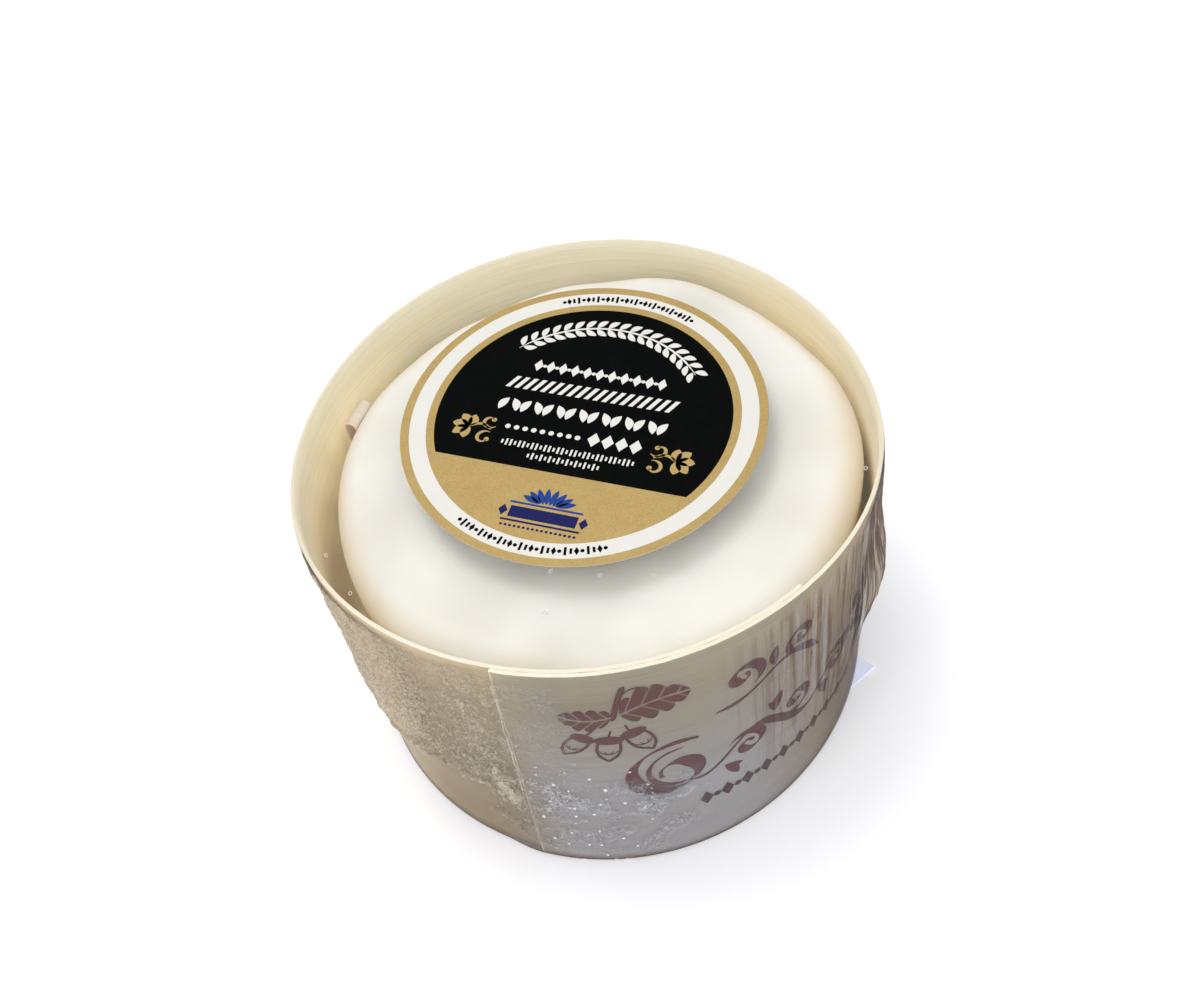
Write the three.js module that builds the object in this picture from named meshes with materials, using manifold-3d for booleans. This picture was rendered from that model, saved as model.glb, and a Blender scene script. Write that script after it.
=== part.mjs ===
// A soft ripened cheese in a round box of bent veneer, shut in clear film, with a round paper
// label on top of the film and a square one under it. Millimetres, +Z up. The origin is on the
// axis of the box, on the table that it stands on. Azimuth 0 is +X and grows towards +Y.
import * as THREE from 'three';
import { mergeVertices } from 'three/addons/utils/BufferGeometryUtils.js';
import Module from 'manifold-3d';

const wasm = await Module();
wasm.setup();

// Driving dimensions
const degree = Math.PI / 180;
const turn = 2 * Math.PI;
const facets = 96; // sides of every full round

const paper = 0.125; // thickness of both labels
const filmSkin = 0.25;
const boxRadius = 42.8; // mean outside of the veneer strip at its rim
const rimHeight = 53; // top edge of the strip above the table
const veneer = 0.6;
const lapGap = 0.1; // between the two turns of the strip where they lap
const lapLength = 45; // how far the inner end runs on behind the outer end
const seamAzimuth = -114.6 * degree; // where the outer end stops
const tuckAngle = 60 * degree; // over which the strip moves in to pass behind its outer end
// Rim and foot are out of round: height of each wave, how many go round, and phase
const rimWaves = [[0.7, 1, -2.99], [0.64, 2, 1.6], [0.47, 3, -2.81], [0.13, 5, -2.73]];
const footWaves = [[0.75, 1, -3.56], [1.05, 2, 5.46]];
const footDraw = 0.53; // how much smaller the mean radius is at the foot

const floorThickness = 3;
const floorGap = 0.3; // all round the floor disc

const cheeseRadius = 40;
const cheeseCentre = [0.98, -0.27]; // the cheese has slid towards +X
const cheeseTop = 48.4; // at its middle, above the table
const cheeseEdge = 47.4; // at its shoulder
const shoulderRound = 5;
const footRound = 4;
// Uneven side and edge of the cheese
const sideWaves = [[0.1, 3, 2.51], [0.41, 5, 1.72], [0.14, 8, 1.9]];
const edgeWaves = [[0.22, 9, 0.4], [0.15, 5, 0]];
const sideBumps = [
  { height: 0.48, azimuth: 178.2 * degree, spread: 0.63 },
  { height: -0.68, azimuth: 71.3 * degree, spread: 0.76 },
];
// The edge rises at the back right and dips a little at the back left
const edgeBumps = [
  { height: 1.73, azimuth: 32.9 * degree, spread: 0.76 },
  { height: 1.8, azimuth: 61.7 * degree, spread: 0.19 },
  { height: -1.04, azimuth: 132.8 * degree, spread: 0.21 },
];
const footSwell = 0.75; // share of the side's unevenness that is left at the foot
const cheeseDraw = 0.7; // how much smaller the radius is at the foot

const labelRadius = 27.5;
const labelCentre = [0.43, 2.05];

const filmClearance = 0.4; // outside of the film beyond the veneer
const filmRound = 0.3; // of its edges at the rim and the foot
const bridgeAngle = 9 * degree; // over which the film spans the step at the seam
// Where the film stands off: how far, about which azimuth and level, and over what angle and height
const filmBulges = [
  { height: 2.0, azimuth: -22.5 * degree, spread: 0.2, level: 29.4, tall: 8.6 },
  { height: 1.33, azimuth: -145 * degree, spread: 0.2, level: 28.2, tall: 11.2 },
];
const filmPleats = { height: 0.3, azimuth: -30 * degree, spread: 0.6, level: 30, tall: 12, count: 24 };
const ventRadius = 0.28;
const vents = [
  [-7.7, -24.9], [-1.2, -27.1], [5.9, -28.7], [-9.3, -31.6],
  [-38.6, -15], [-35.4, -22.4], [38, -17.3],
];

const baseLabelSide = 42;
const baseLabelTip = { azimuth: -23.3 * degree, radius: 45 }; // the corner that shows past the foot
const baseLabelTurn = -13 * degree; // the way that corner points

const tabAzimuth = 151 * degree;
const tabWidth = 5.3;
const tabPaper = 0.3;
const tabFoot = 39.75; // radius of the leg beside the veneer, where it stands on the floor
const tabOuterLeg = 41.1; // and below the fold
const tabInnerLeg = 39.3; // radius of the leg beside the cheese
const tabBendHeight = 44.1;
const tabInnerDrop = 0.15; // length of the inner leg

// Levels that follow
const filmFoot = paper;
const boxFoot = filmFoot + filmSkin;
const floorTop = boxFoot + floorThickness;
const filmTop = rimHeight + filmSkin;

function smooth(t) {
  const x = Math.min(1, Math.max(0, t));
  return x * x * (3 - 2 * x);
}

// Angle from one azimuth to another, between minus and plus half a turn
function angleFrom(centre, azimuth) {
  return Math.atan2(Math.sin(azimuth - centre), Math.cos(azimuth - centre));
}

function bell(distance, width) {
  return Math.exp(-((distance / width) ** 2));
}

function waves(list, azimuth) {
  return list.reduce((sum, [height, count, phase]) => sum + height * Math.sin(count * azimuth + phase), 0);
}

// A swelling about one azimuth, and about one level where it has one
function swelling({ height, azimuth, spread, level, tall }, at, z) {
  const upright = level === undefined ? 1 : bell(z - level, tall);
  return height * bell(angleFrom(azimuth, at), spread) * upright;
}

function swellings(list, azimuth, z) {
  return list.reduce((sum, spot) => sum + swelling(spot, azimuth, z), 0);
}

// A closed solid through a row of loops that all have the same number of points; the first and
// the last loop are closed by a fan from their middle
function loftSolid(loops) {
  const points = loops.flat();
  const count = loops[0].length;
  const faces = [];
  for (let i = 0; i + 1 < loops.length; i += 1) {
    for (let j = 0; j < count; j += 1) {
      const a = i * count + j;
      const b = i * count + ((j + 1) % count);
      faces.push(a, b, b + count, a, b + count, a + count);
    }
  }
  for (const [k, reversed] of [[0, true], [loops.length - 1, false]]) {
    const middle = [0, 1, 2].map((axis) => loops[k].reduce((sum, p) => sum + p[axis], 0) / count);
    points.push(middle);
    for (let j = 0; j < count; j += 1) {
      const a = k * count + j;
      const b = k * count + ((j + 1) % count);
      faces.push(reversed ? b : a, reversed ? a : b, points.length - 1);
    }
  }
  const geometry = new THREE.BufferGeometry();
  geometry.setAttribute('position', new THREE.Float32BufferAttribute(points.flat(), 3));
  geometry.setIndex(signedVolume(points, faces) > 0 ? faces : faces.reverse());
  return geometry;
}

function signedVolume(points, faces) {
  let sum = 0;
  for (let i = 0; i < faces.length; i += 3) {
    const [a, b, c] = [points[faces[i]], points[faces[i + 1]], points[faces[i + 2]]];
    sum += a[0] * (b[1] * c[2] - b[2] * c[1]);
    sum += a[1] * (b[2] * c[0] - b[0] * c[2]);
    sum += a[2] * (b[0] * c[1] - b[1] * c[0]);
  }
  return sum / 6;
}

// One loop round the axis at a height, with its radius a function of azimuth
function ring(z, radiusAt, centre = [0, 0]) {
  const loop = [];
  for (let i = 0; i < facets; i += 1) {
    const azimuth = (i / facets) * turn;
    const radius = radiusAt(azimuth);
    loop.push([centre[0] + radius * Math.cos(azimuth), centre[1] + radius * Math.sin(azimuth), z]);
  }
  return loop;
}

function toSolid(geometry) {
  const bare = geometry.clone();
  bare.deleteAttribute('normal');
  bare.deleteAttribute('uv');
  const merged = mergeVertices(bare);
  return new wasm.Manifold(new wasm.Mesh({
    numProp: 3,
    vertProperties: new Float32Array(merged.getAttribute('position').array),
    triVerts: new Uint32Array(merged.getIndex().array),
  }));
}

function toGeometry(solid) {
  const mesh = solid.getMesh();
  const geometry = new THREE.BufferGeometry();
  geometry.setAttribute('position', new THREE.BufferAttribute(mesh.vertProperties, 3));
  geometry.setIndex(new THREE.BufferAttribute(mesh.triVerts, 1));
  return geometry;
}

// Veneer strip

// How far the strip is out of round
function ovalAt(azimuth, z) {
  const up = z / rimHeight;
  return waves(rimWaves, azimuth) * up + (waves(footWaves, azimuth) - footDraw) * (1 - up);
}

// How far the outside has moved in, by the angle along the strip from its outer end
function stripDrop(along) {
  return (veneer + lapGap) * smooth((along - turn + tuckAngle) / tuckAngle);
}

function stripOutside(along, z) {
  return boxRadius + ovalAt(seamAzimuth + along, z) - stripDrop(along);
}

// Innermost face of the box at an azimuth, near the foot
function boxInside(azimuth) {
  const along = (((azimuth - seamAzimuth) % turn) + turn) % turn;
  const lapAngle = lapLength / boxRadius;
  const onLap = along < lapAngle;
  return stripOutside(onLap ? along + turn : along, boxFoot) - veneer;
}

function boxWall() {
  const whole = turn + lapLength / boxRadius;
  const steps = Math.round((whole / turn) * facets);
  const loops = [];
  for (let i = 0; i <= steps; i += 1) {
    const along = (i / steps) * whole;
    const azimuth = seamAzimuth + along;
    const corner = (inset, z) => {
      const radius = stripOutside(along, z) - inset;
      return [radius * Math.cos(azimuth), radius * Math.sin(azimuth), z];
    };
    const outside = [corner(0, boxFoot), corner(0, rimHeight)];
    const inside = [corner(veneer, rimHeight), corner(veneer, boxFoot)];
    loops.push([...outside, ...inside]);
  }
  return loftSolid(loops);
}

// Floor disc: it follows the inside of the strip and stays clear of the inner end's step
function boxFloor() {
  const step = turn / facets;
  const nearby = [-step, 0, step];
  const radiusAt = (azimuth) => Math.min(...nearby.map((d) => boxInside(azimuth + d))) - floorGap;
  return loftSolid([ring(boxFoot, radiusAt), ring(floorTop, radiusAt)]);
}

// Cheese: its side and its edge are uneven all round
function cheeseSwell(azimuth) {
  return waves(sideWaves, azimuth) + swellings(sideBumps, azimuth);
}

function cheeseEdgeLevel(azimuth) {
  return cheeseEdge + waves(edgeWaves, azimuth) + swellings(edgeBumps, azimuth);
}

function cheese() {
  const topRings = 4;
  const firstRing = 0.12; // share of the flat top that the innermost ring takes
  const shoulderRings = 6;
  const sideRings = 4;
  const footRings = 3;
  const flat = cheeseRadius - shoulderRound;
  const loops = [];
  const addRing = (radius, levelAt, swell) => {
    const loop = ring(0, (azimuth) => radius + swell * cheeseSwell(azimuth), cheeseCentre);
    loops.push(loop.map(([x, y], i) => [x, y, levelAt((i / facets) * turn)]));
  };
  for (let i = 1; i <= topRings; i += 1) {
    const share = firstRing + (1 - firstRing) * (i / topRings);
    const sink = share ** 3;
    addRing(share * flat, (azimuth) => cheeseTop + (cheeseEdgeLevel(azimuth) - cheeseTop) * sink, sink);
  }
  for (let i = 1; i <= shoulderRings; i += 1) {
    const angle = (i / shoulderRings) * 90 * degree;
    const fall = shoulderRound * (1 - Math.cos(angle));
    addRing(flat + shoulderRound * Math.sin(angle), (azimuth) => cheeseEdgeLevel(azimuth) - fall, 1);
  }
  for (let i = 1; i <= sideRings; i += 1) {
    const share = i / sideRings;
    const foot = floorTop + footRound;
    const levelAt = (azimuth) => (cheeseEdgeLevel(azimuth) - shoulderRound) * (1 - share) + foot * share;
    addRing(cheeseRadius - cheeseDraw * share, levelAt, 1 - (1 - footSwell) * share);
  }
  for (let i = 1; i <= footRings; i += 1) {
    const angle = (i / footRings) * 90 * degree;
    const level = floorTop + footRound * (1 - Math.sin(angle));
    const radius = cheeseRadius - cheeseDraw - footRound * (1 - Math.cos(angle));
    addRing(radius, () => level, footSwell);
  }
  return loftSolid(loops);
}

// Film: it follows the strip a little outside it, bridges the step at the seam, and stands off
// in a soft bulge with upright pleats on the right and in a bulge on the left
function filmOutside(azimuth, z) {
  const along = (((azimuth - seamAzimuth) % turn) + turn) % turn;
  const bridge = 1 - smooth((along - turn + bridgeAngle) / bridgeAngle);
  const base = boxRadius + filmClearance + ovalAt(azimuth, z) - stripDrop(along) * bridge;
  const pleat = (1 + Math.sin(filmPleats.count * azimuth)) / 2;
  return base + swellings(filmBulges, azimuth, z) + swelling(filmPleats, azimuth, z) * pleat;
}

function film() {
  const levels = [5, 13, 21, 29, 37, 45];
  const outer = [
    ring(filmFoot, (a) => filmOutside(a, 0) - filmRound),
    ring(filmFoot + filmRound, (a) => filmOutside(a, 0)),
  ];
  const inner = [ring(boxFoot, (a) => filmOutside(a, 0) - filmSkin)];
  for (const z of levels) {
    outer.push(ring(z, (a) => filmOutside(a, z)));
    inner.push(ring(z, (a) => filmOutside(a, z) - filmSkin));
  }
  outer.push(ring(filmTop - filmRound, (a) => filmOutside(a, rimHeight)));
  outer.push(ring(filmTop, (a) => filmOutside(a, rimHeight) - filmRound));
  inner.push(ring(rimHeight, (a) => filmOutside(a, rimHeight) - filmSkin));
  let skin = toSolid(loftSolid(outer)).subtract(toSolid(loftSolid(inner)));
  for (const [x, y] of vents) {
    const drill = new THREE.CylinderGeometry(ventRadius, ventRadius, 8 * filmSkin, 10);
    drill.rotateX(Math.PI / 2);
    drill.translate(x, y, rimHeight);
    skin = skin.subtract(toSolid(drill));
  }
  return toGeometry(skin);
}

// Labels
function topLabel() {
  const disc = new THREE.CylinderGeometry(labelRadius, labelRadius, paper, facets);
  disc.rotateX(Math.PI / 2);
  disc.translate(labelCentre[0], labelCentre[1], filmTop + paper / 2);
  return disc;
}

function baseLabel() {
  const sheet = new THREE.BoxGeometry(baseLabelSide, baseLabelSide, paper);
  const reach = baseLabelSide / Math.SQRT2;
  sheet.rotateZ(baseLabelTurn + 45 * degree);
  sheet.translate(
    baseLabelTip.radius * Math.cos(baseLabelTip.azimuth) - reach * Math.cos(baseLabelTurn),
    baseLabelTip.radius * Math.sin(baseLabelTip.azimuth) - reach * Math.sin(baseLabelTurn),
    paper / 2,
  );
  return sheet;
}

// Paper tab that stands on the floor between the veneer and the cheese, folded over at its top
function linerTab() {
  const middle = (tabOuterLeg + tabInnerLeg) / 2;
  const bend = (tabOuterLeg - tabInnerLeg) / 2;
  const bendSteps = 8;
  const route = [{ radius: tabFoot, z: floorTop, lean: 0 }];
  for (let i = 0; i <= bendSteps; i += 1) {
    const lean = (i / bendSteps) * Math.PI;
    route.push({ radius: middle + bend * Math.cos(lean), z: tabBendHeight + bend * Math.sin(lean), lean });
  }
  route.push({ radius: tabInnerLeg, z: tabBendHeight - tabInnerDrop, lean: Math.PI });
  const loops = route.map(({ radius, z, lean }) => {
    const corner = (across, out) => [
      radius + out * Math.cos(lean),
      across,
      z + out * Math.sin(lean),
    ];
    const half = tabWidth / 2;
    const face = tabPaper / 2;
    return [corner(-half, -face), corner(half, -face), corner(half, face), corner(-half, face)];
  });
  return loftSolid(loops);
}

function material(colour, roughness, options = {}) {
  return new THREE.MeshStandardMaterial({ color: colour, roughness, metalness: 0, ...options });
}

const poplar = material(0xd9caa6, 0.65);
const poplarBoard = material(0xd2bf98, 0.7);
const rind = material(0xf0eee6, 0.55);
const clearFilm = material(0xf4f5f7, 0.08, { transparent: true, opacity: 0.2 });
const printedPaper = material(0xc2a96c, 0.4);
const whitePaper = material(0xd6d6ea, 0.5);
const tabStock = material(0xe9dfd8, 0.5);

const pack = new THREE.Group();

function addPiece(name, geometry, finish) {
  const mesh = new THREE.Mesh(geometry, finish);
  mesh.name = name;
  pack.add(mesh);
  return mesh;
}

addPiece('box_wall', boxWall(), poplar);
addPiece('box_floor', boxFloor(), poplarBoard);
addPiece('cheese', cheese(), rind);
addPiece('film', film(), clearFilm);
addPiece('top_label', topLabel(), printedPaper);
addPiece('base_label', baseLabel(), whitePaper);
addPiece('liner_tab', linerTab(), tabStock).rotation.z = tabAzimuth;

export default pack;
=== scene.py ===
import math

import bpy
import numpy as np
from mathutils import Matrix, Vector
from mathutils.geometry import delaunay_2d_cdt


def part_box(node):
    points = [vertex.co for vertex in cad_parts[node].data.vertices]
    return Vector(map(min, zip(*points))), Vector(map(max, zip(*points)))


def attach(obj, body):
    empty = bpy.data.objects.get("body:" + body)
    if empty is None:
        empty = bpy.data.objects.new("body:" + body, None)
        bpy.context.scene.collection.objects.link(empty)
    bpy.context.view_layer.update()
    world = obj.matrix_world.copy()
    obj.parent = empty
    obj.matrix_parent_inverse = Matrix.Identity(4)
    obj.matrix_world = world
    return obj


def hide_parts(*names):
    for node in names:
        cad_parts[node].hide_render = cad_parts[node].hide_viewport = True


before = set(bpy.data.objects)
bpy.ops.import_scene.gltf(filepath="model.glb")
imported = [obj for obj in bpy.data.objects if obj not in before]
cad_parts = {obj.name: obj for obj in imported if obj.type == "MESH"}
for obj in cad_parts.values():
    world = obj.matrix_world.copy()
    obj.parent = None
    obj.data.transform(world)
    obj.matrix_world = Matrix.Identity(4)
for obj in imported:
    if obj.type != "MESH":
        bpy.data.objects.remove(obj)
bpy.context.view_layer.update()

print("frame loaded:", len(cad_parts), "nodes")

# Lengths are in millimetres until a mesh is made, and angles round the box are azimuths:
# 0 is +X and they grow towards +Y
mm = 0.001
degree = math.pi / 180
turn = 2 * math.pi


def boxOf(node):
    # lowest and highest corner of a node, in millimetres
    low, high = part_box(node)
    return np.array(low) / mm, np.array(high) / mm


def smooth(t):
    # x squared times (3 - 2x), with x held between 0 and 1
    x = np.clip(t, 0, 1)
    return x * x * (3 - 2 * x)


def bell(distance, width):
    # e to the minus square of distance over width
    return np.exp(-(distance / width) ** 2)


def window(value, low, high, soft):
    # 1 between low and high, and down to 0 over the soft length past them
    return smooth((value - low) / soft + 1) * smooth((high - value) / soft + 1)


def angleFrom(centre, azimuth):
    return np.arctan2(np.sin(azimuth - centre), np.cos(azimuth - centre))


def roundTurn(count):
    return np.linspace(0, turn, count, endpoint=False)


def steps(count, gap, middle=0):
    # evenly spaced places about a middle
    return middle + gap * (np.arange(count) - (count - 1) / 2)


def waves(table, azimuth):
    # sum of height times the sine of (count times azimuth plus phase)
    return sum(height * np.sin(count * azimuth + phase) for height, count, phase in table)


def rippled(seed, x, y, longest, shortest):
    # sum of plane cosine waves in random directions, with lengths between longest and shortest
    count = 28
    draw = np.random.default_rng(seed)
    heading = draw.uniform(0, turn, count)
    number = turn / np.exp(draw.uniform(math.log(shortest), math.log(longest), count))
    phase = draw.uniform(0, turn, count)
    total = 0
    for h, n, p in zip(heading, number, phase):
        total = total + np.cos(n * (x * math.cos(h) + y * math.sin(h)) + p)
    return total * math.sqrt(2 / count)


def banded(seed, rows, columns, stepUp, stepAlong, up, along, spread):
    # random heights whose waves are about "up" and "along" long: white noise of which only the
    # wave numbers near that ring are kept, scaled to a spread of 1; it closes in both directions
    white = np.random.default_rng(seed).standard_normal((rows, columns))
    nearUp = np.fft.fftfreq(rows, stepUp)[:, None] * up
    nearAlong = np.fft.rfftfreq(columns, stepAlong)[None, :] * along
    kept = bell(np.hypot(nearUp, nearAlong) - 1, spread)
    field = np.fft.irfft2(np.fft.rfft2(white) * kept, s=(rows, columns))
    return field / field.std()


# Meshes

def gridFaces(rows, columns, closedColumns=True, closedRows=False):
    # the four corners of every cell; a closed direction joins its end to its start
    row, column = np.meshgrid(
        np.arange(rows if closedRows else rows - 1),
        np.arange(columns if closedColumns else columns - 1),
        indexing="ij",
    )
    nextRow, nextColumn = (row + 1) % rows, (column + 1) % columns
    corners = [(row, column), (row, nextColumn), (nextRow, nextColumn), (nextRow, column)]
    return np.stack([r * columns + c for r, c in corners], -1).reshape(-1, 4)


def fanFaces(first, count, centre):
    # triangles from a closed ring of points to one point
    around = np.arange(count)
    return np.stack([first + around, first + (around + 1) % count, np.full(count, centre)], -1)


def volumeOf(points, groups):
    # sum over the faces' triangles of the pyramid that each makes with the origin
    total = 0
    for faces in groups:
        for k in range(1, faces.shape[1] - 1):
            a, b, c = points[faces[:, 0]], points[faces[:, k]], points[faces[:, k + 1]]
            total += (a * np.cross(b, c)).sum() / 6
    return total


def addObject(name, data):
    made = bpy.data.objects.new(name, data)
    bpy.context.scene.collection.objects.link(made)
    return made


class Shape:
    # closed bodies of points and faces in millimetres that become one mesh in metres

    def __init__(self):
        self.points, self.faces, self.finishes, self.flats, self.marks = [], [], [], [], []
        self.count = 0

    def add(self, points, groups, finishes=None, flat=None, mark=None):
        # groups: arrays of faces, each with a finish number; flat: each point's place in the
        # pattern; mark: one number for each point that its material may read
        points = np.asarray(points, float).reshape(-1, 3)
        order = 1 if volumeOf(points, groups) > 0 else -1
        for k, faces in enumerate(groups):
            self.faces += (faces[:, ::order] + self.count).tolist()
            finish = 0 if finishes is None else finishes[k]
            self.finishes.append(np.broadcast_to(finish, len(faces)))
        flat = points[:, :2] if flat is None else np.asarray(flat, float).reshape(-1, 2)
        self.points.append(points)
        self.flats.append(flat)
        self.marks.append(np.zeros(len(points)) if mark is None else np.ravel(mark))
        self.count += len(points)

    def make(self, name, finishes, replaced=(), sharp=42 * degree):
        mesh = bpy.data.meshes.new(name)
        points = np.concatenate(self.points) * mm
        mesh.from_pydata(points.tolist(), [], self.faces)
        corners = np.empty(len(mesh.loops), np.int32)
        mesh.loops.foreach_get("vertex_index", corners)
        places = np.concatenate(self.flats)[corners] / 100
        mesh.uv_layers.new(name="flat").data.foreach_set("uv", places.ravel())
        mark = mesh.attributes.new("mark", "FLOAT", "POINT")
        mark.data.foreach_set("value", np.concatenate(self.marks).astype(np.float32))
        for finish in finishes:
            mesh.materials.append(finish.material)
        mesh.polygons.foreach_set("material_index", np.concatenate(self.finishes).astype(np.int32))
        mesh.polygons.foreach_set("use_smooth", np.ones(len(mesh.polygons), bool))
        mesh.set_sharp_from_angle(angle=sharp)
        mesh.validate()
        mesh.update()
        piece = addObject(name, mesh)
        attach(piece, "root")
        if replaced:
            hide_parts(*replaced)
        print(name, "made:", len(mesh.polygons), "faces")


def addPlate(shape, grid, place, low, high, mark=None, finish=0):
    # a closed thin plate over a grid of flat places: its upper face, its lower face and the wall
    # round its border; place(x, y, lift) puts a flat place on the surface that carries it
    rows, columns = grid.shape[:2]
    x, y = grid[..., 0], grid[..., 1]
    upper, lower = place(x, y, high), place(x, y, low)
    count = rows * columns
    index = np.arange(count).reshape(rows, columns)
    border = np.concatenate([index[0, :-1], index[:-1, -1], index[-1, :0:-1], index[:0:-1, 0]])
    after = np.roll(border, -1)
    top = gridFaces(rows, columns, False)
    wall = np.stack([after, border, border + count, after + count], -1)
    shape.add(
        np.concatenate([upper.reshape(-1, 3), lower.reshape(-1, 3)]),
        [top, top[:, ::-1] + count, wall],
        [finish] * 3,
        np.concatenate([grid.reshape(-1, 2)] * 2),
        None if mark is None else np.concatenate([np.ravel(mark)] * 2),
    )


# Flat marks, each a grid of places

def turned(grid, angle, x=0, y=0):
    # turned about the origin and moved to (x, y)
    c, s = math.cos(angle), math.sin(angle)
    return np.stack([grid[..., 0] * c - grid[..., 1] * s + x, grid[..., 0] * s + grid[..., 1] * c + y], -1)


def discMark(radius, cells=4):
    # a square grid pressed into a disc: x times the root of (1 - y squared / 2), and so for y
    side = np.linspace(-1, 1, cells + 1)
    x, y = np.meshgrid(side, side, indexing="ij")
    u, v = x * np.sqrt(1 - y * y / 2), y * np.sqrt(1 - x * x / 2)
    return np.stack([u, v], -1) * radius


def barMark(long, wide, slant=0):
    # four corners, with the upper side moved along by the slant
    x, y = np.meshgrid([-long / 2, long / 2], [-wide / 2, wide / 2], indexing="ij")
    return np.stack([x + slant * y, y], -1)


def lozengeMark(long, wide):
    # four corners on the two axes
    return np.array([[[-long / 2, 0], [0, -wide / 2]], [[0, wide / 2], [long / 2, 0]]])


def leafMark(long, wide, bend=0, cells=8, fullness=0.8):
    # half width is the sine of pi t to the power of its fullness, about a midrib that bows by "bend"
    t = np.linspace(0, 1, cells + 1)
    half = wide / 2 * np.sin(math.pi * t) ** fullness
    half[[0, -1]] = wide * 0.02
    middle = bend * 4 * t * (1 - t)
    return np.stack([
        np.stack([t * long, middle - half], -1),
        np.stack([t * long, middle + half], -1),
    ], 1)


def strokeMark(x, y, thin, thick, nib=None, taper=0.12):
    # a band along a line of points: its width grows from thin to thick by how far the line's
    # heading is from the nib's angle, and falls off at both ends
    along = np.stack([np.gradient(x), np.gradient(y)], -1)
    length = np.concatenate([[0], np.cumsum(np.hypot(np.diff(x), np.diff(y)))])
    share = length / length[-1]
    heading = np.arctan2(along[:, 1], along[:, 0])
    swell = np.ones_like(heading) if nib is None else np.abs(np.sin(heading - nib)) ** 1.6
    ends = smooth(share / taper) * smooth((1 - share) / taper)
    width = (thin + (thick - thin) * swell) * (0.25 + 0.75 * ends)
    side = np.stack([-np.sin(heading), np.cos(heading)], -1) * width[:, None] / 2
    middle = np.stack([x, y], -1)
    return np.stack([middle - side, middle + side], 1)


def curlLine(x, y, radius, start, turns, tighten=0.3, points=60):
    # a spiral about (x, y): its radius falls by e to the minus tighten for each radian
    angle = np.linspace(0, turns * turn, points)
    r = radius * np.exp(-tighten * np.abs(angle))
    return x + r * np.cos(start + angle), y + r * np.sin(start + angle)


# Shader maths

def paint(red, green, blue):
    # screen values from 0 to 255 as linear light
    channels = [c / 255 for c in (red, green, blue)]
    return tuple(c / 12.92 if c < 0.04045 else ((c + 0.055) / 1.055) ** 2.4 for c in channels) + (1,)


class Wire:
    # a node's output; sums, products and powers of wires and numbers add Math nodes

    def __init__(self, finish, socket):
        self.finish, self.socket = finish, socket

    def maths(self, operation, first, second):
        return self.finish.node("ShaderNodeMath", {"operation": operation}, {0: first, 1: second})

    def __add__(self, other):
        return self.maths("ADD", self, other)

    __radd__ = __add__

    def __sub__(self, other):
        return self.maths("SUBTRACT", self, other)

    def __rsub__(self, other):
        return self.maths("SUBTRACT", other, self)

    def __mul__(self, other):
        return self.maths("MULTIPLY", self, other)

    __rmul__ = __mul__

    def __truediv__(self, other):
        return self.maths("DIVIDE", self, other)

    def __pow__(self, other):
        return self.maths("POWER", self, other)


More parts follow.
